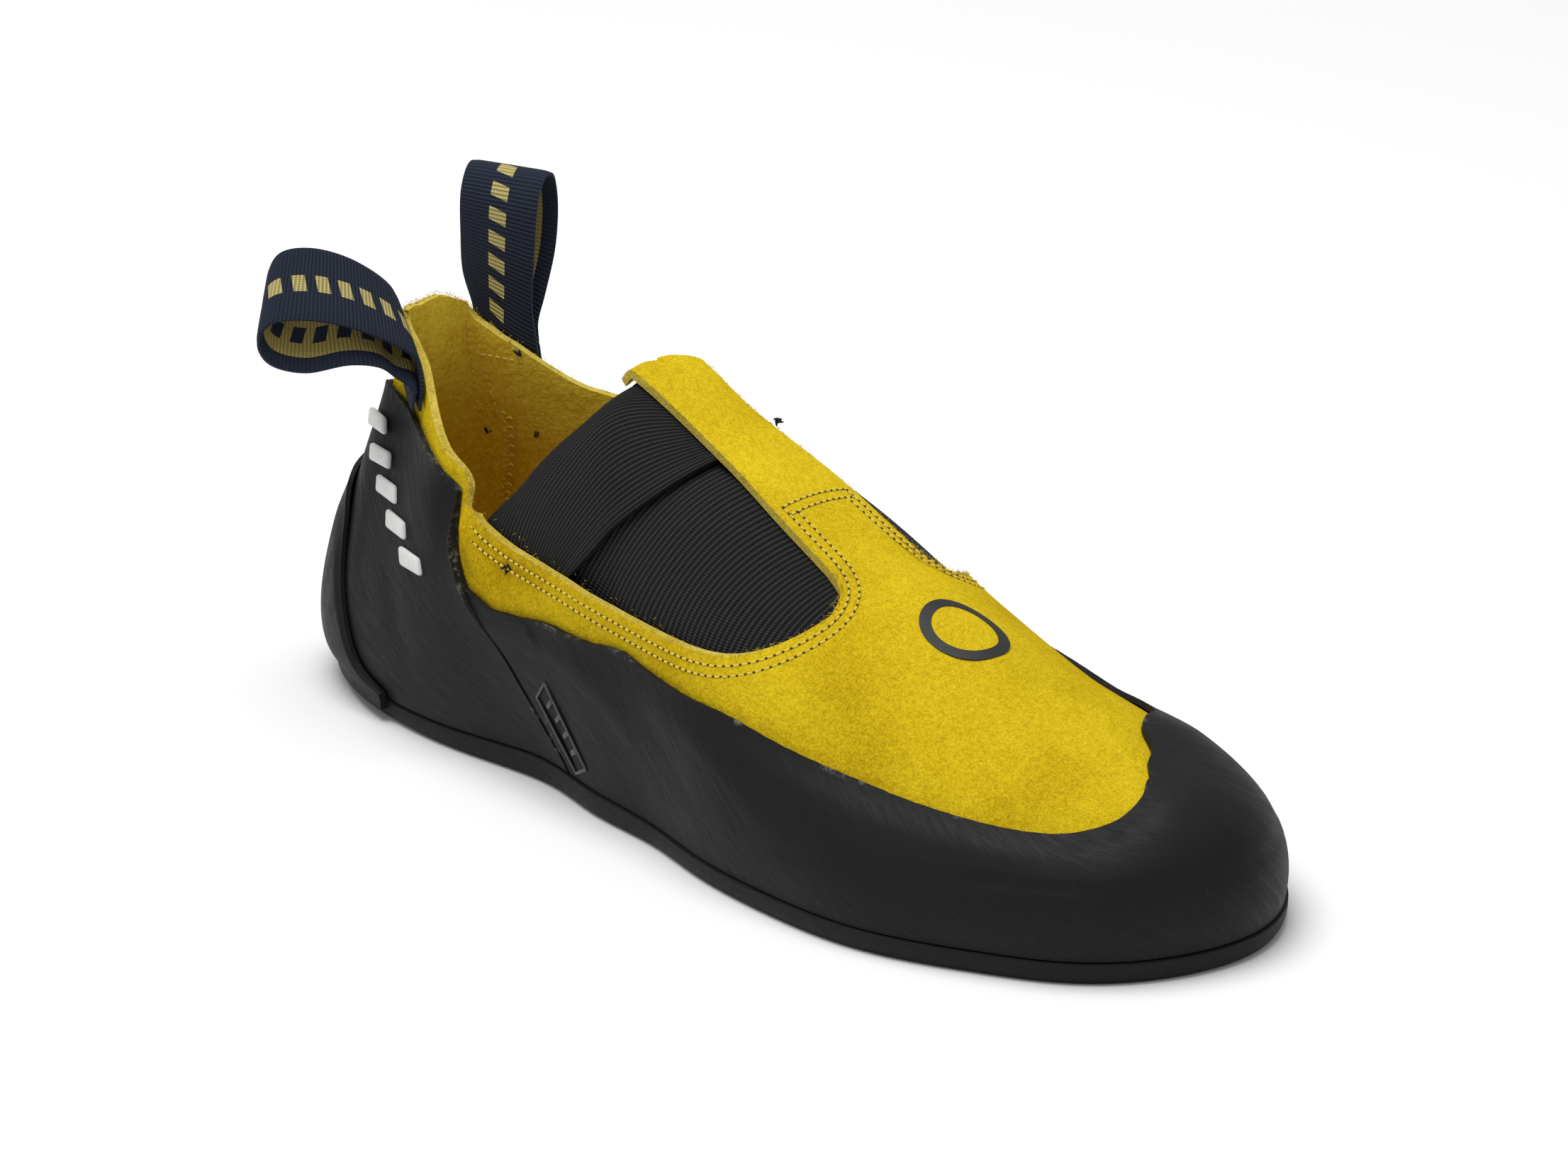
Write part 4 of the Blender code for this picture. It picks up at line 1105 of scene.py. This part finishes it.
s = np.linspace(0, ROUND, 241)
foot, out, lift = foot_of(s)
middle, k = spine_of(s), rib_number(s)
cup = ease((2.4 - k) / 0.8)
ledge = GAP + RAND + SOLE_LEDGE + (HEEL_CUP + HEEL_RUBBER - RAND - SOLE_LEDGE) * cup
rounding = SOLE * table(SOLE_ROUNDING, k)
middle_lift = middle[..., 2] - SOLE
under_lift = lift * np.where(s <= TIP, table(UNDER_OUTER, k), 1.0)


def sole_ring(inset, height, share=None):
    level = foot + out * (ledge - inset)[..., None]
    if share is not None:
        level = middle + (level - middle) * share
    level[..., 2] = height
    return level


rings = [points(middle[..., 0], middle[..., 1], middle_lift)]
half_way = 0.55
for share in (0.18, 0.36, half_way, 0.78, 1.0):
    blend = 0.5 * ease(share / half_way) + 0.5 * ease((share - half_way) / (1 - half_way))
    rings.append(sole_ring(rounding, middle_lift + (under_lift - middle_lift) * blend, share))
corner = CORNER_SHARE * SOLE + lift - under_lift
for t in np.linspace(0, np.pi / 2, 9)[1:]:
    rings.append(sole_ring(rounding * (1 - np.sin(t)), under_lift + corner * (1 - np.cos(t))))
top = SOLE - SKIN_GAP
chamfer = 0.0003
rings += [
    sole_ring(0 * k, lift + 0.5 * (top + CORNER_SHARE * SOLE)),
    sole_ring(0 * k, lift + top - 0.0002),
    sole_ring(0 * k + chamfer, lift + top),
    sole_ring(0 * k, lift + top, 0.7),
]
rings.append(points(middle[..., 0], middle[..., 1], middle_lift + top))
outsole = ring_plate("outsole_rubber", rings, (sole_rubber,))
measured_map(outsole, *SOLE_SIZE)
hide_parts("outsole")

# %% [markdown]
# At the back the sole's rubber is moulded up the heel as a cup. It is made as a panel of its
# own, over the heel rand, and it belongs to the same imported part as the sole.

# %% Heel cup
HEEL_CUP_TOP = [(0, 1), (0.8, 0.98), (1.3, 0.84), (1.6, 0.5), (1.9, 0.15), (2.2, 0.05)]
HEEL_CUP_SIZE = (0.10, 0.045)
SUNK = 0.4 * SOLE
end = HEEL_CUP_TOP[-1][0]
cup_s = np.linspace(-end, end, 121)[:, None]
b = np.linspace(0, 1, 32)[None, :]
v = b * table(HEEL_CUP_TOP, abs(cup_s)) * HEEL_CUP_HEIGHT
thick = thinned(HEEL_CUP, HEEL_CUP_EDGE, b, 0.8)
inner_offset = 2 * GAP + HEEL_RUBBER
outer, inner = form(cup_s, v, inner_offset + thick), form(cup_s, v, inner_offset + 0 * v)
for face in (outer, inner):
    face[:, 0, 2] -= SUNK
heel_cup = panel("heel_cup_rubber", outer, inner, (sole_rubber, sole_rubber))
measured_map(heel_cup, *HEEL_CUP_SIZE)
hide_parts("outsole")

# %% [markdown]
# The insole is a thin flat board that lies on the sole, a little smaller than the suede inside.

# %% Insole
edge = foot - out * (SUEDE + 2 * GAP)


def board_ring(share, height):
    ring = middle + (edge - middle) * share
    ring[..., 2] += height
    return ring


section = [(0.0, 0.0), (0.6, 0.0), (1.0, 0.0)]
section += [(share, INSOLE) for share in (1.0, 0.8, 0.5, 0.2, 0.0)]
insole = ring_plate("insole_board", [board_ring(*corner) for corner in section], (board,))
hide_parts("insole")

# %% [markdown]
# ## Pull loops
# Each loop is one length of webbing, folded over and tacked to the collar. Its legs lie on the
# suede above the rand, one over the other, and its free part stands up or leans out.

# %% Webbing loops
FAR_LOOP = [
    (0.04, 0.22, -0.1, 0.03), (0.05, 0.5, -0.22, 0.08), (0.08, 0.76, -0.32, 0.14),
    (0.16, 0.9, -0.36, 0.17), (0.26, 0.94, -0.36, 0.18), (0.36, 0.88, -0.36, 0.17),
    (0.41, 0.68, -0.32, 0.14), (0.38, 0.45, -0.22, 0.08), (0.26, 0.24, -0.1, 0.03),
    (0.17, 0.1, 0, 0),
]
NEAR_LOOP = [
    (0.07, 0.18, 0.1, 0), (0.18, 0.31, 0.2, 0.1), (0.42, 0.46, 0.33, 0.22),
    (0.68, 0.55, 0.45, 0.36), (0.9, 0.55, 0.55, 0.5), (0.98, 0.43, 0.55, 0.5),
    (0.92, 0.29, 0.5, 0.4), (0.72, 0.21, 0.38, 0.28), (0.48, 0.22, 0.22, 0.12),
    (0.31, 0.17, 0.1, 0), (0.2, 0.07, 0, 0),
]


def webbing_loop(name, rib, rows, side, lengthwise=180, crosswise=15):
    across = np.linspace(-1, 1, crosswise)
    rib = rib if side < 0 else ROUND - rib
    spacing = np.linalg.norm(form(rib + 0.5, 1.0) - form(rib - 0.5, 1.0))
    ribs = rib - side * across * WEB_WIDTH / 2 / spacing
    seat = np.linspace(LOOP_SEAT, 1.0, 4)[:, None]
    inner_leg = form(ribs, seat, GAP + WEB / 2 + 0 * ribs)
    outer_leg = form(ribs, seat[::-1], 2 * GAP + 1.5 * WEB + 0 * ribs)
    run = unit(form(ribs[-1], 1.0) - form(ribs[0], 1.0))
    up = np.array([0, 0, 1.0])
    out = unit(np.cross(up, run)) * side
    rows = np.array(rows)
    centre = form(rib, 1.0) + LOOP_REACH * (out * rows[:, :1] + up * rows[:, 1:2])
    turned = unit(run - up * rows[:, 2:3] + out * rows[:, 3:4]) * WEB_WIDTH / 2
    free = centre[:, None] + turned[:, None] * across[None, :, None]
    lines = np.concatenate([inner_leg, free, outer_leg])
    knots = len(lines) - 1
    half = crosswise // 2
    at, length = evenly(lambda run_at: passing_curve(lines[:, half], run_at * knots), lengthwise)
    grid = passing_curve(lines, at * knots)
    ahead, aside = np.gradient(grid, axis=0), np.gradient(grid, axis=1)
    normal = unit(np.cross(ahead, aside))
    selvedge = 0.55 + 0.45 * np.sqrt(np.clip(1 - np.abs(across) ** 8, 0, 1))
    normal = normal * (WEB / 2 * selvedge)[None, :, None]
    outward = np.sum(normal * (grid - grid.mean((0, 1))))
    normal = normal if outward > 0 else -normal
    loop = panel(name, grid + normal, grid - normal, (webbing, webbing, inner_webbing))
    measured_map(loop, length, WEB_WIDTH, middle=0.5)
    print(name, "is", round(length * 1000), "mm long")
    return loop


near_loop = webbing_loop("outer_pull_loop", NEAR_LOOP_RIB, NEAR_LOOP, -1)
far_loop = webbing_loop("inner_pull_loop", FAR_LOOP_RIB, FAR_LOOP, 1)
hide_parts("pull_loop_outer")
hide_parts("pull_loop_inner")

# %% [markdown]
# ## Soil and lighter patches
# The suede is darker where hands and glue have flattened its nap, and lighter where a row's
# amount is minus. Each row is a place on the form, a radius and an amount, and the amounts are
# stored on the mesh for the finish to read.

# %% Soiled places
SOIL = [
    ("notch", 3.6, 0.86, 0.01, 0.25), ("quarter_back", 4.1, 0.66, 0.014, 0.16),
    ("quarter_mid", 5, 0.42, 0.016, 0.1), ("quarter_front", 6.4, 0.38, 0.014, 0.1),
    ("vamp_low", 8.8, 0.46, 0.018, 0.12), ("vamp_front", 10.2, 0.52, 0.016, 0.08),
    ("vamp_mid", 8.3, 0.66, 0.012, 0.08), ("far_quarter", 19.6, 0.6, 0.018, 0.15),
    ("far_vamp", 15, 0.55, 0.02, 0.1), ("inner_heel", 22.6, 0.5, 0.02, 0.1),
    ("vamp_light", 9, 0.9, 0.018, -0.1), ("strap_light", 7, 0.95, 0.014, -0.1),
    ("far_light", 22, 0.92, 0.022, -0.15), ("ball_light", 7.6, 0.52, 0.014, -0.08),
]


def spread_soil(piece):
    places = places_of(piece.data)
    amounts = np.zeros(len(places))
    for _, rib, height, radius, amount in SOIL:
        distance = np.linalg.norm(places - form(rib, height), axis=1)
        amounts += amount * np.exp(-((distance / radius) ** 2))
    soil = piece.data.attributes.new("soil", "FLOAT", "POINT")
    soil.data.foreach_set("value", amounts)


spread_soil(upper)
print("soil patches:", len(SOIL))

# %% [markdown]
# ## Stitching
# Two rows of pale thread run beside each window, round its front corner and back along the
# strap, where they join across it. The window's border is found on the form by dropping its two
# outlines onto it; each row then lies a few millimetres beside the border. A stitch is a small
# stretched sphere between two needle holes, and all the copies go into one mesh.

# %% Rows beside the windows
STITCH_PITCH = 0.0018
FIRST_ROW, SECOND_ROW = 0.0022, 0.0044
CROSS_ROWS = (-0.0446, -0.0423)
FAR_OFF = 0.2
STITCH, HOLE = (0.00068, 0.00024, 0.00022), (0.00034, 0.00028, 0.00014)


def outward(place):
    """The direction out of the shoe at a place on the form."""
    normal = np.array(SKIN.find_nearest(place)[1])
    return normal * np.sign(normal @ (place - (place[0], 0.002, 0.03)))


def dropped(x, y):
    """The point of the form under a point in plan."""
    return SKIN.ray_cast(Vector((x, y, FAR_OFF)), Vector((0, 0, -1)))[0]


def window_border(side):
    quarter, strap = side_window(200), strap_side(side, 200)
    low, high = [], []
    for x, z in quarter:
        hit = SKIN.ray_cast(Vector((x, side * FAR_OFF, z)), Vector((0, -side, 0)))[0]
        strap_half = np.interp(x, strap[:, 0], np.abs(strap[:, 1] - STRAP_SHIFT))
        if hit and hit.y * side > 0.004 and abs(hit.y - STRAP_SHIFT) >= strap_half:
            low.append(hit)
    for x, y in strap[::-1]:
        hit = dropped(x, y)
        if hit and hit.z >= np.interp(x, quarter[:, 0], quarter[:, 1]):
            high.append(hit)
    return np.array(low + high)


def resampled(line, pitch):
    run = np.concatenate([[0], np.cumsum(np.linalg.norm(np.diff(line, axis=0), axis=1))])
    at = np.linspace(0, run[-1], max(2, round(run[-1] / pitch) + 1))
    return np.stack([np.interp(at, run, line[:, i]) for i in range(3)], 1)


def evened(line, times):
    line = line.copy()
    for _ in range(times):
        line[1:-1] = 0.5 * line[1:-1] + 0.25 * (line[2:] + line[:-2])
    return line


def row_beside(border, centre, offset):
    line = evened(resampled(border, 0.0006), 8)
    along = unit(np.gradient(line, axis=0))
    across = unit(np.cross([outward(p) for p in line], along))
    across *= np.sign(np.sum(across * (line - centre)))
    return evened(snapped(line + across * offset), 30)


def joined_copies(name, base, places, frames, surface):
    """One mesh of many copies of a small piece. Each row of a frame is one of its axes."""
    shape = places_of(base.data)
    placed = np.asarray(places)[:, None] + np.einsum("vi,nij->nvj", shape, np.asarray(frames))
    faces = [list(face.vertices) for face in base.data.polygons]
    count = len(shape)
    made = bpy.data.meshes.new(name)
    all_faces = [[i + n * count for i in face] for n in range(len(placed)) for face in faces]
    made.from_pydata(placed.reshape(-1, 3).tolist(), [], all_faces)
    made.materials.append(surface)
    made.shade_smooth()
    piece = new_object(name, made)
    bpy.data.objects.remove(base)
    print(name, "copies:", len(placed), "faces:", len(made.polygons))
    return piece


def small_ball(segments, rings, size):
    bpy.ops.object.select_all(action="DESELECT")
    bpy.ops.mesh.primitive_uv_sphere_add(
        segments=segments, ring_count=rings, radius=1, location=(0, 0, 0)
    )
    ball = bpy.context.object
    ball.scale = size
    bpy.ops.object.transform_apply(location=False, rotation=False, scale=True)
    return ball


def stitch_row(line, pitch, lift):
    """Places and frames of the stitches along a line, and of the holes between them."""
    line = resampled(line, pitch / 2)
    along = unit(np.gradient(line, axis=0))
    out = np.array([outward(p) for p in line])
    out = unit(out - along * np.sum(out * along, 1)[:, None])
    frames = np.stack([along, np.cross(out, along), out], 1)
    places = line + out * lift
    return places[1::2], frames[1::2], places[::2], frames[::2]


def sewn(name, base, rows, first, surface):
    """Copies at each stitch of the rows (first is 0) or at each hole between them (first is 2)."""
    places, frames = (np.concatenate([row[i] for row in rows]) for i in (first, first + 1))
    return joined_copies(name, base, places, frames, surface)


print("stitches every", STITCH_PITCH * 1000, "mm")

# %% [markdown]
# Each window gets its two rows. Both stop where they meet the strap's cross rows, and those run
# from the ends of one side's rows to the other's. All the stitches are one mesh, all the holes
# another.

# %% Sew the windows
rows = []
borders = {}
for side in (-1, 1):
    border = window_border(side)
    borders[side] = border
    for offset, last in ((FIRST_ROW, CROSS_ROWS[0]), (SECOND_ROW, CROSS_ROWS[1])):
        line = row_beside(border, np.array([-0.055, side * 0.022, 0.066]), offset)
        front = np.argmax(line[:, 0])
        keep = [i for i in range(len(line)) if i <= front or line[i, 0] > last]
        rows.append(line[keep])
for x in CROSS_ROWS:
    across = np.linspace(rows[0][-1][1], rows[2][-1][1], 30)
    rows.append(np.array([dropped(x, y) for y in across]))
stitches = [stitch_row(line, STITCH_PITCH, 0.00012) for line in rows]
sewn("window_stitching", small_ball(8, 6, STITCH), stitches, 0, thread)
sewn("needle_holes", small_ball(7, 4, HOLE), stitches, 2, hole_dark)

# %% [markdown]
# ## Raised and printed marks
# The heel has five raised white bars, the vamp a printed black ring and the rand a moulded
# frame with bars in it. A bar is a bevelled box laid flat and then wrapped onto the form, so it
# follows the curve of the heel.

# %% Heel bars
def flat_bar(long, wide, high, at=(0.0, 0.0), lean=0.0, roundness=0.45):
    bpy.ops.object.select_all(action="DESELECT")
    bpy.ops.mesh.primitive_cube_add(size=1, location=(0, 0, 0))
    bar = bpy.context.object
    bar.scale = (wide, long, high)
    bpy.ops.object.transform_apply(location=False, rotation=False, scale=True)
    round_off = bar.modifiers.new("round_off", "BEVEL")
    round_off.width, round_off.segments = roundness * min(wide, high), 3
    bpy.ops.object.modifier_apply(modifier="round_off")
    for vertex in bar.data.vertices:
        vertex.co.x += at[0] + lean * (vertex.co.y + at[1])
        vertex.co.y += at[1]
    return bar


def wrapped(piece, rib, height, turn, base):
    """Bends a small flat piece onto the form. Its x and y become distances along and up the wall."""
    step = 0.01
    wide = np.linalg.norm(form(rib + step, height) - form(rib - step, height)) / (2 * step)
    tall = np.linalg.norm(form(rib, height + step) - form(rib, height - step)) / (2 * step)
    x, y, z = places_of(piece.data).T
    along, up = x * math.cos(turn) - y * math.sin(turn), x * math.sin(turn) + y * math.cos(turn)
    move_points(piece.data, form(rib + along / wide, height + up / tall, base + z))


def joined(name, pieces, surface):
    bpy.ops.object.select_all(action="DESELECT")
    for piece in pieces:
        piece.select_set(True)
    bpy.context.view_layer.objects.active = pieces[0]
    bpy.ops.object.join()
    made = bpy.context.object
    made.name = made.data.name = name
    made.data.materials.clear()
    made.data.materials.append(surface)
    made.data.shade_smooth()
    made.data.set_sharp_from_angle(angle=math.radians(40))
    return made


# Rib, height and length of each bar
HEEL_BARS = [
    (1.44, 0.765, 0.007), (1.74, 0.7, 0.0086), (2.05, 0.645, 0.0094), (2.36, 0.59, 0.0094),
    (2.66, 0.535, 0.0088),
]
BAR_WIDTH, BAR_HEIGHT, BAR_LEAN, BAR_TURN = 0.0036, 0.0016, 0.25, math.radians(-66)
bars = []
for rib, height, long in HEEL_BARS:
    bar = flat_bar(long, BAR_WIDTH, BAR_HEIGHT, lean=BAR_LEAN)
    wrapped(bar, rib, height, BAR_TURN, GAP + HEEL_RUBBER + BAR_HEIGHT / 4)
    bars.append(bar)
heel_bars = joined("raised_heel_bars", bars, white_rubber)
print("heel bars:", len(bars))
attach(heel_bars, "root")

# %% [markdown]
# The rand's moulded frame is made of the same bars, joined first and wrapped in one go.

# %% Moulded frame
FRAME_LONG, FRAME_WIDE, FRAME_LINE, FRAME_RISE = 0.0200, 0.0054, 0.0009, 0.0006
frame_bars = []
for side in (-1, 1):
    frame_bars.append(flat_bar(FRAME_LONG, FRAME_LINE, FRAME_RISE, (side * FRAME_WIDE / 2, 0)))
for side in (-1, 1):
    frame_bars.append(flat_bar(FRAME_LINE, 0.0062, FRAME_RISE, (0, side * FRAME_LONG / 2)))
frame_bars += [flat_bar(0.0014, 0.0030, FRAME_RISE, (0, y)) for y in (-0.006, -0.002, 0.002, 0.006)]
moulded_frame = joined("moulded_rand_frame", frame_bars, glossy_rubber)
FRAME_RIB, FRAME_HEIGHT, FRAME_TURN = 4.64, 0.135, math.radians(24)
wrapped(moulded_frame, FRAME_RIB, FRAME_HEIGHT, FRAME_TURN, GAP + RAND + 0.0001)
print("moulded frame:", len(frame_bars), "bars")

# %% [markdown]
# A print has almost no thickness, so the ring is a very thin panel. Its circle is drawn on the
# plane that touches the vamp at the ring's middle, and each point is then dropped to the form.

# %% Printed ring
RING_RADIUS, RING_WIDTH = 0.0085, 0.0026
ring_centre = np.array(SKIN.find_nearest(form(15.05, 0.985))[0])
ring_out = outward(ring_centre)
ring_along = unit(np.array([1.0, 0, 0]) - ring_out * ring_out[0])
ring_across = np.cross(ring_out, ring_along)
turns = np.linspace(0, 2 * np.pi, 97)[:, None]
radii = np.linspace(RING_RADIUS - RING_WIDTH / 2, RING_RADIUS + RING_WIDTH / 2, 6)[None, :]
ring_x, ring_y = (radii * np.cos(turns))[..., None], (radii * np.sin(turns))[..., None]
ring_flat = snapped(ring_centre + ring_x * ring_along + ring_y * ring_across)
ring_lift = np.array([outward(p) for p in ring_flat.reshape(-1, 3)]).reshape(ring_flat.shape)
INK_RISE, INK_ROOT = 0.00010, 0.00080
ring_top, ring_root = ring_flat + ring_lift * INK_RISE, ring_flat - ring_lift * INK_ROOT
panel("printed_vamp_ring", ring_top, ring_root, (black_ink, black_ink), closed_round=True)

# %% [markdown]
# ## Seams inside and loose threads
# On the inner side of the far wall the tape's tack shows as a stitched box, the heel seam as two
# rows and the join of the hides as a zigzag. Knots of black thread end some of the seams.

# %% Inner seams and knots
INNER_SEAMS = [
    [(22.78, 0.955), (22.74, 0.83), (22.7, 0.695)],
    [(22.48, 0.855), (22.4, 0.78), (22.35, 0.715)],
    [(22.43, 0.99), (22.5, 0.885), (21.88, 0.94), (21.98, 0.99)],
]
ZIGZAG = [(22.23, 0.74), (22.33, 0.615), (22.5, 0.49), (22.6, 0.4)]
KNOTS = [(22.58, 0.66, -1), (21.88, 0.7, -1), (21.88, 0.965, -1), (4.5, 0.615, 1), (17.45, 0.79, 1)]


def wall_side(knots, count, sign):
    """A line on the outer side of the suede, or on its inner side when the sign is minus."""
    return form(*through(knots, count).T, 0.0 if sign > 0 else -SUEDE)


INNER_PITCH, ZIGZAG_PITCH, SWING, PRESSED_IN = 0.0019, 0.0022, 0.0016, -0.0001
INNER_STITCH = (0.00075, 0.00024, 0.00022)
inner_rows = []
for knots in INNER_SEAMS:
    corners = [wall_side([a, b], 12, -1) for a, b in zip(knots, knots[1:])]
    inner_rows += [stitch_row(line, INNER_PITCH, PRESSED_IN) for line in corners]
swing = wall_side(ZIGZAG, 25, -1)
swing[:, 0] += SWING * np.where(np.arange(len(swing)) % 2, 1, -1)
for pair in zip(swing, swing[1:]):
    inner_rows.append(stitch_row(np.array(pair), ZIGZAG_PITCH, PRESSED_IN))
sewn("inner_stitching", small_ball(8, 6, INNER_STITCH), inner_rows, 0, thread)

KNOT_SPREAD, KNOT_TURN = 0.00045, (0.0010, 0.00030, 0.00026)
chance = np.random.default_rng(7)
knot_places, knot_frames = [], []
for rib, height, sign in KNOTS:
    centre = form(np.array([rib]), np.array([height]), 0.0 if sign > 0 else -SUEDE)[0]
    for _ in range(5):
        turn = np.linalg.qr(chance.normal(size=(3, 3)))[0]
        knot_places.append(centre + chance.normal(size=3) * KNOT_SPREAD)
        knot_frames.append(turn)
knot = small_ball(8, 6, KNOT_TURN)
joined_copies("thread_knots", knot, knot_places, knot_frames, black_thread)

# %% [markdown]
# The cut edges of the suede shed short hairs, which also cling to the elastic. One seeded draw
# scatters them, so each run gives the same hairs.

# %% Hairs and the fold's dents
HAIR = 0.00006


def hairs(name, lines, count, spread, length, lift, surface, laid=True):
    """Short hairs scattered beside some lines, each a three-sided sliver."""
    bpy.ops.object.select_all(action="DESELECT")
    bpy.ops.mesh.primitive_cone_add(
        vertices=3, radius1=HAIR, radius2=HAIR / 2, depth=1, location=(0, 0, 0)
    )
    line = np.concatenate(lines)
    roots = line[chance.integers(0, len(line), count)] + chance.normal(size=(count, 3)) * spread
    out = np.array([outward(p) for p in roots])
    roots = (snapped(roots) if laid else roots) + out * lift
    heading = unit(chance.normal(size=(count, 3)) + out * 0.5)
    side = unit(np.cross(heading, chance.normal(size=(count, 3))))
    reach = heading * (length * chance.uniform(0.4, 1.3, count))[:, None]
    frames = np.stack([side, np.cross(heading, side), reach], 1)
    return joined_copies(name, bpy.context.object, roots, frames, surface)


edges = [borders[-1], borders[1]]
collar_s = np.concatenate([np.linspace(0, 3.6, 80), np.linspace(20.4, 24, 80)])
collar_line = form(collar_s, np.full(160, 0.994), -0.0005)
collar_line[:, 2] += table(COLLAR_RISE, collar_s)
hairs("edge_hairs", edges, 800, 0.0004, 0.0011, 0.0, fibre)
hairs("collar_hairs", [collar_line], 500, 0.0004, 0.0011, 0.0, fibre, laid=False)
low_edges = [line[: len(line) // 2] + (0, 0, 0.0012) for line in edges]
hairs("shed_hairs", low_edges, 170, 0.0006, 0.0009, -SEAT + 0.0001, fibre)

# A row of dents holds the rear band's fold down
FOLD_WIDTH = 0.0036
fold_line = rear_grid[int(len(rear_grid) * (1 - FOLD_WIDTH / rear_width))]
dents = stitch_row(evened(fold_line, 3), 0.0022, -SEAT + 0.0001)
DENT = (0.00080, 0.00022, 0.00012)
sewn("fold_stitching", small_ball(8, 4, DENT), [dents], 0, black_thread)

# %% Finish
packed = [node.name for node in frame["nodes"].values()]
for piece in list(bpy.data.objects):
    if piece.type == "MESH" and piece is not floor and piece.name not in packed:
        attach(piece, "root")
